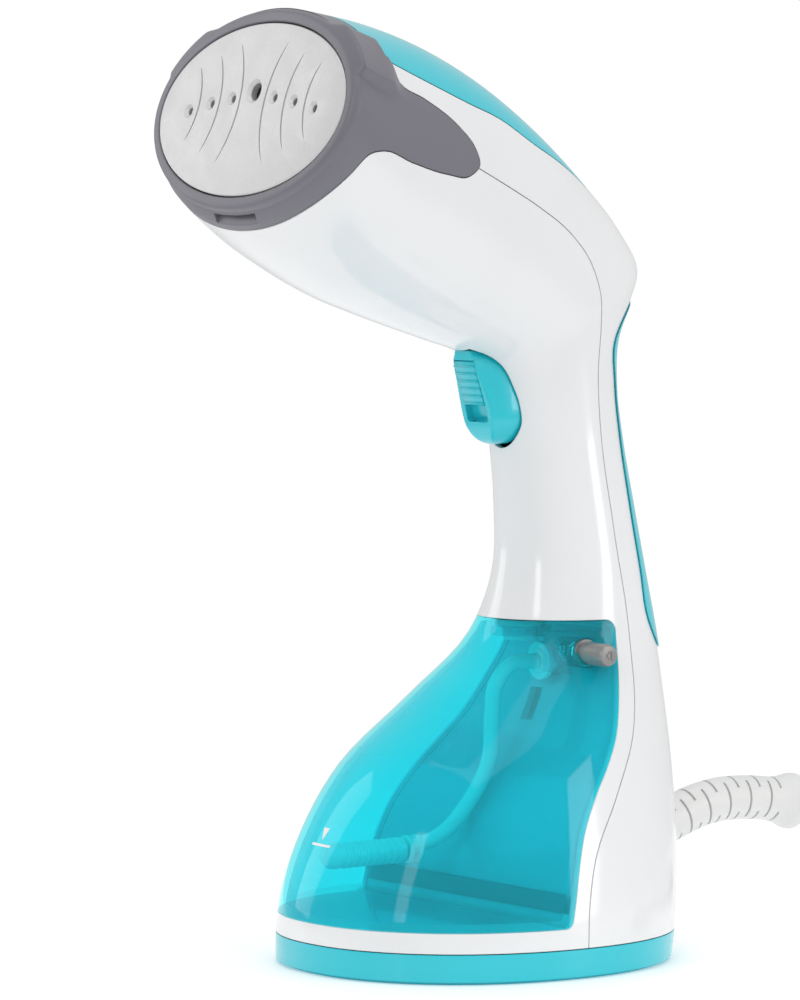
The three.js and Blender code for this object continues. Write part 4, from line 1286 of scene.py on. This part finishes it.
# ---------------------------------------------------------------------------
# Nozzle
# ---------------------------------------------------------------------------
def nozzle_ring_form(seam, wall, gap):
    hollow = common(
        envelope(-wall), plate_prism(slab(-FAR, FAR, -FAR, FAR), BEZEL_DEPTH + 2, FAR))
    ring = cut(common(envelope(ears=True), ring_region(-seam)), hollow)
    a, b = PLATE_HALF
    rim = 0.9
    mouth = loft([
        [PLATE_CENTRE + X * u + PLATE_UP * v - PLATE_OUT * depth
         for u, v in oval(a + grow, b + grow, 192)]
        for depth, grow in [(-6, 7), (-0.6, rim + gap), (-0.2, 0.55 + gap), (0.3, 0.2 + gap),
                            (1, gap), (BEZEL_DEPTH, gap)]])
    through = plate_prism(oval(a - LEDGE, b - LEDGE, 192), BEZEL_DEPTH - 1, BEZEL_DEPTH + 4)
    outline = slab(
        -NOZZLE_SLOT["half"], NOZZLE_SLOT["half"], NOZZLE_SLOT["low"], NOZZLE_SLOT["top"])
    slot = plate_prism(eased(outline, 0.8), NOZZLE_SLOT["front"], NOZZLE_SLOT["back"])
    return cut(ring, mouth, through, slot)


def groove_form(x, half, radius, width):
    """A thin tool that cuts one curved groove, bowed towards the plate's middle."""
    side = math.copysign(1, x)
    tip = math.asin(half / radius)
    centre = x + side * radius
    arcs = []
    steps = 28
    for k in range(steps + 1):
        t = -tip + 2 * tip * k / steps
        taper = max(0.12, math.cos(t / tip * math.pi / 2) ** 0.6)
        arcs.append((t, width / 2 * taper))
    inner = [(centre - side * (radius - w) * math.cos(t), 2 + (radius - w) * math.sin(t))
             for t, w in arcs]
    outer = [(centre - side * (radius + w) * math.cos(t), 2 + (radius + w) * math.sin(t))
             for t, w in arcs]
    return plate_prism(inner + outer[::-1], -0.5, 0.5)


def steam_plate_form(groove):
    a, b = PLATE_HALF
    profile = [(PLATE_THICK, 0), (0.7, 0), (0.35, -0.06), (0.12, -0.25), (0, -0.6)]
    rings = [
        [PLATE_CENTRE + X * u + PLATE_UP * v - PLATE_OUT * depth
         for u, v in oval(a + inset, b + inset, 192)] for depth, inset in profile]
    plate = loft(rings)
    holes = [turned(
        [(0, 1), (3.9, 1), (3.9, 0.1), (3.5, -0.2), (2.75, -1), (2.75, -4), (0, -4)],
        PLATE_CENTRE + PLATE_UP * 5.6, PLATE_OUT, 56)]
    for x, up in STEAM_HOLES:
        for side in (-1, 1):
            at = PLATE_CENTRE + X * (side * x) + PLATE_UP * up
            holes.append(turned(
                [(0, 1), (2.3, 1), (2.3, 0.1), (1.9, -0.15), (1.2, -0.8), (1.2, -4), (0, -4)],
                at, PLATE_OUT, 40))
    arcs = [(6.7, 18.5, 31.5), (17.6, 15, 25.4), (28.6, 11.6, 19.2)]
    grooves = [
        groove_form(side * x, half, radius, groove) for x, half, radius in arcs
        for side in (-1, 1)]
    return cut(plate, *holes, *grooves)


class STEAMER_OT_nozzle(bpy.types.Operator):
    """Make the nozzle ring and its steam plate"""

    bl_idname = "steamer.nozzle"
    bl_label = "Nozzle"

    def execute(self, context):
        sizes, _ = settings()
        ring = nozzle_ring_form(sizes.seam / MM, sizes.wall / MM, sizes.gap / MM)
        finished(ring, "nozzle_bezel", "satin_grey", "body", ["nozzle_ring"])
        finished(steam_plate_form(sizes.groove / MM), "steam_plate_face", "plate_metal", "body",
                 ["steam_plate"])
        return {"FINISHED"}


# ---------------------------------------------------------------------------
# Trigger
# ---------------------------------------------------------------------------
def trigger_form(gap):
    side = smooth(TRIGGER_SIDE[1:8], 5)
    side = [TRIGGER_SIDE[0], *side, TRIGGER_SIDE[-1]]
    rings = []
    for y, squeeze in smooth(TRIGGER_WIDTHS, 3, 1):
        rings.append([Vector((x, y, z)) for x, z in trigger_front(-0.1, squeeze)])
    form = softened(common(loft(rings), prism_x(side)), 0.32, 7)
    half = LOCK["half"] + gap
    depth = LOCK["depth"] + gap
    end = LOCK["length"] + 5.4
    outline = [(-half + 0.2, -0.1), (half - 0.2, -0.1), (half, end - 0.7), (half - 0.7, end),
               (-half + 0.7, end), (-half, end - 0.7)]
    recess = prism(outline, X, FACE_DOWN, FACE_TOP, -6, depth)
    slant = prism(
        [(end - 0.1, 0.05), (end + 2.2, 0.05), (end - 0.1, -depth)],
        FACE_DOWN, FACE_OUT, FACE_TOP, -half + 1.2, half - 1.2)
    pin = rod((-20, *HINGE), (20, *HINGE), TRIGGER_PIN)
    return cut(form, recess, slant, pin)


def lock_form():
    """The sliding lock: a plate whose face has fine cross ridges."""
    pitch = LOCK["length"] / LOCK["teeth"]
    top, bottom = LOCK["top"], LOCK["top"] + LOCK["length"]
    face = [(top, -0.5), (top + 0.3, -0.05)]
    for k in range(LOCK["teeth"]):
        at = top + (k + 0.45) * pitch
        face += [(at, 0.05), (at + 0.16, 0.3), (at + 0.38, 0.62), (at + 0.62, 0.66),
                 (at + 0.8, 0.45), (at + 0.95, 0.1)]
    face += [(bottom - 0.25, 0), (bottom, -0.4), (bottom, -LOCK["depth"]), (top, -LOCK["depth"])]
    return bevelled(
        prism(face, FACE_DOWN, FACE_OUT, FACE_TOP, -LOCK["half"], LOCK["half"]), 0.12, 2, 60)


class STEAMER_OT_trigger(bpy.types.Operator):
    """Make the steam trigger and its lock"""

    bl_idname = "steamer.trigger"
    bl_label = "Trigger"

    def execute(self, context):
        sizes, _ = settings()
        finished(trigger_form(sizes.gap / MM), "steam_trigger", "gloss_cyan", "trigger",
                 ["trigger"])
        finished(lock_form(), "lock_slider", "gloss_cyan", "trigger_lock",
                 ["trigger_lock"])
        return {"FINISHED"}


# ---------------------------------------------------------------------------
# Tank
# ---------------------------------------------------------------------------
def button_room():
    y, z = BUTTON["y"], BUTTON["z"]
    return box(13, 45, y - 6.4, y + 6.6, z - 6.2, z + 6.2)


def button_bore():
    flange, radius, wall = BUTTON["flange"] + 0.3, BUTTON["radius"] + 0.3, BUTTON["wall"]
    profile = [(0, 15.2), (flange, 15.2), (flange, wall), (radius, wall), (radius, 50), (0, 50)]
    return turned(profile, (0, BUTTON["y"], BUTTON["z"]), X)


def tank_shell_form(wall, tank_wall, gap):
    low, high = SHELF_TOP + gap + tank_wall, TANK_TOP - gap - tank_wall
    inside = common(envelope(-wall), tank_region(-gap - tank_wall))
    rear_room = common(envelope(-wall), cut(
        box(-FAR, FAR, -4, 60, low, high), tank_region(-gap - tank_wall - 1)))
    mouth = turned([
        (0, -20), (CAP["stem"] + gap, -20), (CAP["stem"] + gap, -CAP["thick"] - 2 * gap),
        (CAP["radius"] + gap, -CAP["thick"] - 2 * gap), (CAP["radius"] + gap, 5), (0, 5),
    ], (0, CAP["y"], TANK_TOP - gap), Z)
    collar = common(
        rod((0, CAP["y"], TANK_TOP - 5.6), (0, CAP["y"], TANK_TOP - 1), CAP["radius"] + 1.6),
        envelope())
    housing = common(button_room(), envelope(), tank_region(-2 * gap - tank_wall))
    tank = cut(common(envelope(), tank_region(-gap)), inside, rear_room)
    return cut(join(tank, collar, housing), mouth, button_bore())


def tank_back_form(wall, tank_wall, gap):
    low, high = SHELF_TOP + 2 * gap + tank_wall, TANK_TOP - 2 * gap - tank_wall
    back = common(
        cut(tank_region(-gap), tank_region(-gap - tank_wall)), envelope(-wall - gap),
        box(-FAR, FAR, -3.2, 60, low, high))
    return cut(back, rod((0, 20, OUTLET["z"]), (0, 50, OUTLET["z"]), OUTLET["radius"] + gap))


def outlet_form():
    r, b, end = OUTLET["radius"], OUTLET["bore"], OUTLET["outer"] - OUTLET["inner"]
    profile = [
        (b, 0), (r - 0.3, 0), (r, 0.3), (r, 0.6), (5.7, 0.6), (6, 0.9), (6, 2.3), (5.7, 2.6),
        (r, 2.6), (r, end - 0.6), (r - 0.5, end), (b, end), (b, 0)]
    return turned(profile, (0, OUTLET["inner"], OUTLET["z"]), Y)


def suction_form():
    tube = sweep(smooth(SUCTION_ROUTE, 8, 3), lambda share: SUCTION_RADIUS, 32)
    start, end = FILTER_ENDS
    along = (end - start).normalized()
    discs = [
        turned(eased([(0, d), (4.4, d), (4.4, d + 1.3), (0, d + 1.3)], 0.4, False), start, along)
        for d in (-5, -1.6)]
    return join(tube, *discs)


def filter_form():
    """The round filter on the tube's end, with fine rings along it."""
    start, end = FILTER_ENDS
    length = (end - start).length
    profile = [(0, 0.3), (3.4, 0.3), (3.9, 0.8)]
    for k in range(FILTER_RINGS):
        at = 2 + (length - 8) * k / FILTER_RINGS
        profile += [(4, at), (4, at + 1), (3.6, at + 1.3), (3.6, at + 2)]
    profile += [(4, length - 5), (3.8, length - 3), (3, length - 1.3), (1.6, length - 0.3),
                (0, length)]
    return turned(profile, start, (end - start).normalized())


def cap_form():
    stem, radius, thick, deep = CAP["stem"], CAP["radius"] - CAP["inset"], CAP["thick"], CAP["depth"]
    profile = [(0, -thick - deep), (stem - 0.8, -thick - deep), (stem, -thick - deep + 1.2),
               (stem - 0.3, -thick - 1.8), (stem, -thick - 0.6), (stem, -thick),
               (radius, -thick), (radius, 0), (3, 0), (2.4, -1), (0, -1)]
    cap = turned(eased(profile, 0.35, False), (0, CAP["y"], TANK_TOP - 0.6), Z)
    tab = bevelled(
        box(-0.8, 0.8, CAP["y"] - 2, CAP["y"] + 2, TANK_TOP - 1.9, TANK_TOP - 0.7), 0.3)
    return join(cap, tab)


def button_form():
    """A round push button whose face carries a raised arrow and bar."""
    radius, end, wall = BUTTON["radius"], BUTTON["end"], BUTTON["wall"]
    y, z = BUTTON["y"], BUTTON["z"]
    profile = [
        (0, wall - 1.8), (BUTTON["flange"], wall - 1.8), (BUTTON["flange"], wall - 0.3),
        (radius, wall - 0.3), (radius, end - 1.3), (radius - 0.15, end - 0.75),
        (radius - 0.55, end - 0.3), (radius - 1.1, end - 0.25), (0, end - 0.2)]
    button = turned(profile, (0, y, z), X)
    signs = [[(y - 1.1, z), (y + 0.2, z - 1.3), (y + 0.2, z + 1.3)],
             slab(y + 0.8, y + 1.25, z - 1.3, z + 1.3)]
    return join(button, *[prism_x(sign, end - 0.6, end - 0.02) for sign in signs])


def level_mark_form():
    """A plain level line with a small arrow above it, laid on the tank's front."""
    skin = cut(envelope(0.12), envelope(-0.1))
    line = prism_y(slab(-10, 0.5, 38, 38.7), -90, -20)
    arrow = prism_y([(-6.4, 43.4), (-4.7, 39.8), (-3, 43.4)], -90, -20)
    return common(skin, join(line, arrow))


class STEAMER_OT_tank(bpy.types.Operator):
    """Make the water tank, its tube, filter, cap and release button"""

    bl_idname = "steamer.tank"
    bl_label = "Water tank"

    def execute(self, context):
        sizes, _ = settings()
        wall, tank_wall, gap = sizes.wall / MM, sizes.tank_wall / MM, sizes.gap / MM
        pieces = [
            (tank_shell_form(wall, tank_wall, gap), "tank_body", "tank_cyan", "tank_blue",
             ["tank_shell"]),
            (tank_back_form(wall, tank_wall, gap), "tank_rear_wall", "tank_cyan", "tank_blue",
             ["tank_back"]),
            (outlet_form(), "outlet_spout", "clear_white", "clear_plastic", ["tank_outlet"]),
            (suction_form(), "dip_tube", "clear_white", "clear_plastic", ["suction_tube"]),
            (filter_form(), "dip_filter", "clear_white", "clear_plastic", ["suction_filter"]),
            (level_mark_form(), "level_mark", "mark_white", "soft_white", []),
        ]
        for form, name, look, slot, replaced in pieces:
            finished(form, name, look, "tank", replaced)
        finished(cap_form(), "filler_cap", "pale_rubber", "fill_cap",
                 ["fill_cap"])
        finished(button_form(), "tank_button", "button_silver", "release_button",
                 ["release_button"])
        return {"FINISHED"}


# ---------------------------------------------------------------------------
# Working parts that keep their own shapes
# ---------------------------------------------------------------------------
INNER_LOOKS = {
    "black_plastic": ["microswitch", "pump", "wire_harness", "mains_wires"],
    "seal_rubber": ["plate_gasket", "coupling_seal"],
    "cast_metal": ["boiler"],
    "bright_steel": ["heating_element", "thermostat", "trigger_pin", "trigger_spring",
                     "button_spring", "clamp_screw_1", "clamp_screw_2"],
    "pale_rubber": ["thermal_fuse"],
    "clear_white": ["tank_coupling", "inlet_hose", "outlet_hose"],
    "board_green": ["control_board"],
    "inner_white": ["cord_clamp"],
    "cord_white": ["lead_inner"],
}


class STEAMER_OT_inner_works(bpy.types.Operator):
    """Give the working parts inside the body their finishes"""

    bl_idname = "steamer.inner_works"
    bl_label = "Inner works"

    def execute(self, context):
        for look, nodes in INNER_LOOKS.items():
            for name in nodes:
                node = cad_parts[name]
                if not node.material_slots:
                    raise RuntimeError(f"{name} has no material slot")
                for place in node.material_slots:
                    place.link = "OBJECT"
                    place.material = material(look)
        return {"FINISHED"}


# ---------------------------------------------------------------------------
# Stage
# ---------------------------------------------------------------------------
CAMERA = {"place": (1.3332, -0.9613, 0.2351), "azimuth": 55, "pitch": 3.25, "lens": 192.6}
LAMPS = [
    # name, place, target, size, power, colour
    ("key", (0.5, -1.7, 0.9), (0, 0, 0.15), (0.3, 1.15), 4.0, (1, 1, 1)),
    ("side", (1.5, 1.0, 0.6), (0, 0.02, 0.14), (0.4, 1.2), 6.4, (1, 1, 1)),
    ("top", (0.1, 0.0, 1.5), (0, 0, 0.1), (1.2, 1.2), 5.5, (1, 1, 1)),
    ("far", (-1.4, -0.7, 0.6), (0, 0, 0.15), (0.5, 1.1), 2.5, (1, 1, 1)),
]
FLOOR_FADE = (0.32, 0.75)


def stage_floor():
    """A wide pale floor that fades into the pale surroundings."""
    bpy.ops.mesh.primitive_grid_add(x_subdivisions=8, y_subdivisions=8, size=6)
    floor = bpy.context.object
    floor.name = "floor"
    look, tree, principled, place = shader("floor_pale")
    tree.links.new(
        tinted(tree, noise(tree, place, 3, 2), (0.9, 0.9, 0.9), (0.94, 0.94, 0.94)),
        principled.inputs["Base Color"])
    principled.inputs["Roughness"].default_value = 0.5
    principled.inputs["Emission Color"].default_value = (1, 1, 1, 1)
    principled.inputs["Emission Strength"].default_value = 0.26
    reach = tree.nodes.new("ShaderNodeVectorMath")
    reach.operation = "LENGTH"
    tree.links.new(place, reach.inputs[0])
    fade = tree.nodes.new("ShaderNodeMapRange")
    fade.interpolation_type = "SMOOTHSTEP"
    fade.inputs["From Min"].default_value = FLOOR_FADE[0]
    fade.inputs["From Max"].default_value = FLOOR_FADE[1]
    tree.links.new(reach.outputs["Value"], fade.inputs["Value"])
    faded = mixed(tree, fade.outputs["Result"], principled, seen_through(tree))
    tree.links.new(faded.outputs["Shader"], tree.nodes["Material Output"].inputs["Surface"])
    floor.data.materials.append(look)


def stage_world():
    world = bpy.data.worlds.new("studio")
    bpy.context.scene.world = world
    world.use_nodes = True
    tree = world.node_tree
    tree.nodes.clear()
    output = tree.nodes.new("ShaderNodeOutputWorld")
    seen = tree.nodes.new("ShaderNodeBackground")
    seen.inputs["Color"].default_value = (1, 1, 1, 1)
    seen.inputs["Strength"].default_value = 1.0
    light = tree.nodes.new("ShaderNodeBackground")
    light.inputs["Color"].default_value = (1, 1, 1, 1)
    light.inputs["Strength"].default_value = 0.66
    path = tree.nodes.new("ShaderNodeLightPath")
    both = mixed(tree, path.outputs["Is Camera Ray"], light, seen)
    tree.links.new(both.outputs["Shader"], output.inputs["Surface"])


class STEAMER_OT_stage(bpy.types.Operator):
    """Set up the camera, the studio lights and the floor"""

    bl_idname = "steamer.stage"
    bl_label = "Stage"

    def execute(self, context):
        data = bpy.data.cameras.new("view")
        data.lens = CAMERA["lens"]
        data.sensor_width = 36
        data.clip_end = 50
        camera = linked("view", data)
        camera.location = CAMERA["place"]
        camera.rotation_euler = (
            math.radians(90 - CAMERA["pitch"]), 0, math.radians(CAMERA["azimuth"]))
        context.scene.camera = camera
        stage_floor()
        stage_world()
        for name, place, target, size, power, colour in LAMPS:
            lamp = bpy.data.lights.new(name, "AREA")
            lamp.shape = "RECTANGLE"
            lamp.size, lamp.size_y = size
            lamp.energy = power
            lamp.color = colour
            obj = linked(name, lamp)
            obj.location = place
            obj.rotation_euler = (Vector(target) - Vector(place)).to_track_quat(
                "-Z", "Y").to_euler()
        context.scene.view_settings.view_transform = "Standard"
        return {"FINISHED"}


# ---------------------------------------------------------------------------
# Panel and running order
# ---------------------------------------------------------------------------
OPERATORS = [
    STEAMER_OT_stage, STEAMER_OT_cord, STEAMER_OT_boot, STEAMER_OT_shells, STEAMER_OT_screws,
    STEAMER_OT_nozzle, STEAMER_OT_trigger, STEAMER_OT_tank, STEAMER_OT_inner_works,
]


class STEAMER_PT_pieces(bpy.types.Panel):
    """Lists the steamer's pieces in the order they are made."""

    bl_label = "Garment steamer"
    bl_idname = "STEAMER_PT_pieces"
    bl_space_type = "VIEW_3D"
    bl_region_type = "UI"
    bl_category = "Steamer"

    def draw(self, context):
        for operator in OPERATORS:
            self.layout.operator(operator.bl_idname)
        for group in (context.scene.steamer_sizes, context.scene.steamer_finishes):
            column = self.layout.column()
            for name in group.__annotations__:
                column.prop(group, name)


CLASSES = [SteamerSizes, SteamerFinishes, *OPERATORS, STEAMER_PT_pieces]


def register():
    for kind in CLASSES:
        bpy.utils.register_class(kind)
    bpy.types.Scene.steamer_sizes = bpy.props.PointerProperty(type=SteamerSizes)
    bpy.types.Scene.steamer_finishes = bpy.props.PointerProperty(type=SteamerFinishes)


def unregister():
    del bpy.types.Scene.steamer_finishes
    del bpy.types.Scene.steamer_sizes
    for kind in reversed(CLASSES):
        bpy.utils.unregister_class(kind)


def main():
    register()
    bpy.ops.steamer.stage()
    bpy.ops.steamer.cord()
    bpy.ops.steamer.boot()
    bpy.ops.steamer.shells()
    bpy.ops.steamer.screws()
    bpy.ops.steamer.nozzle()
    bpy.ops.steamer.trigger()
    bpy.ops.steamer.tank()
    bpy.ops.steamer.inner_works()


if __name__ == "__main__":
    main()
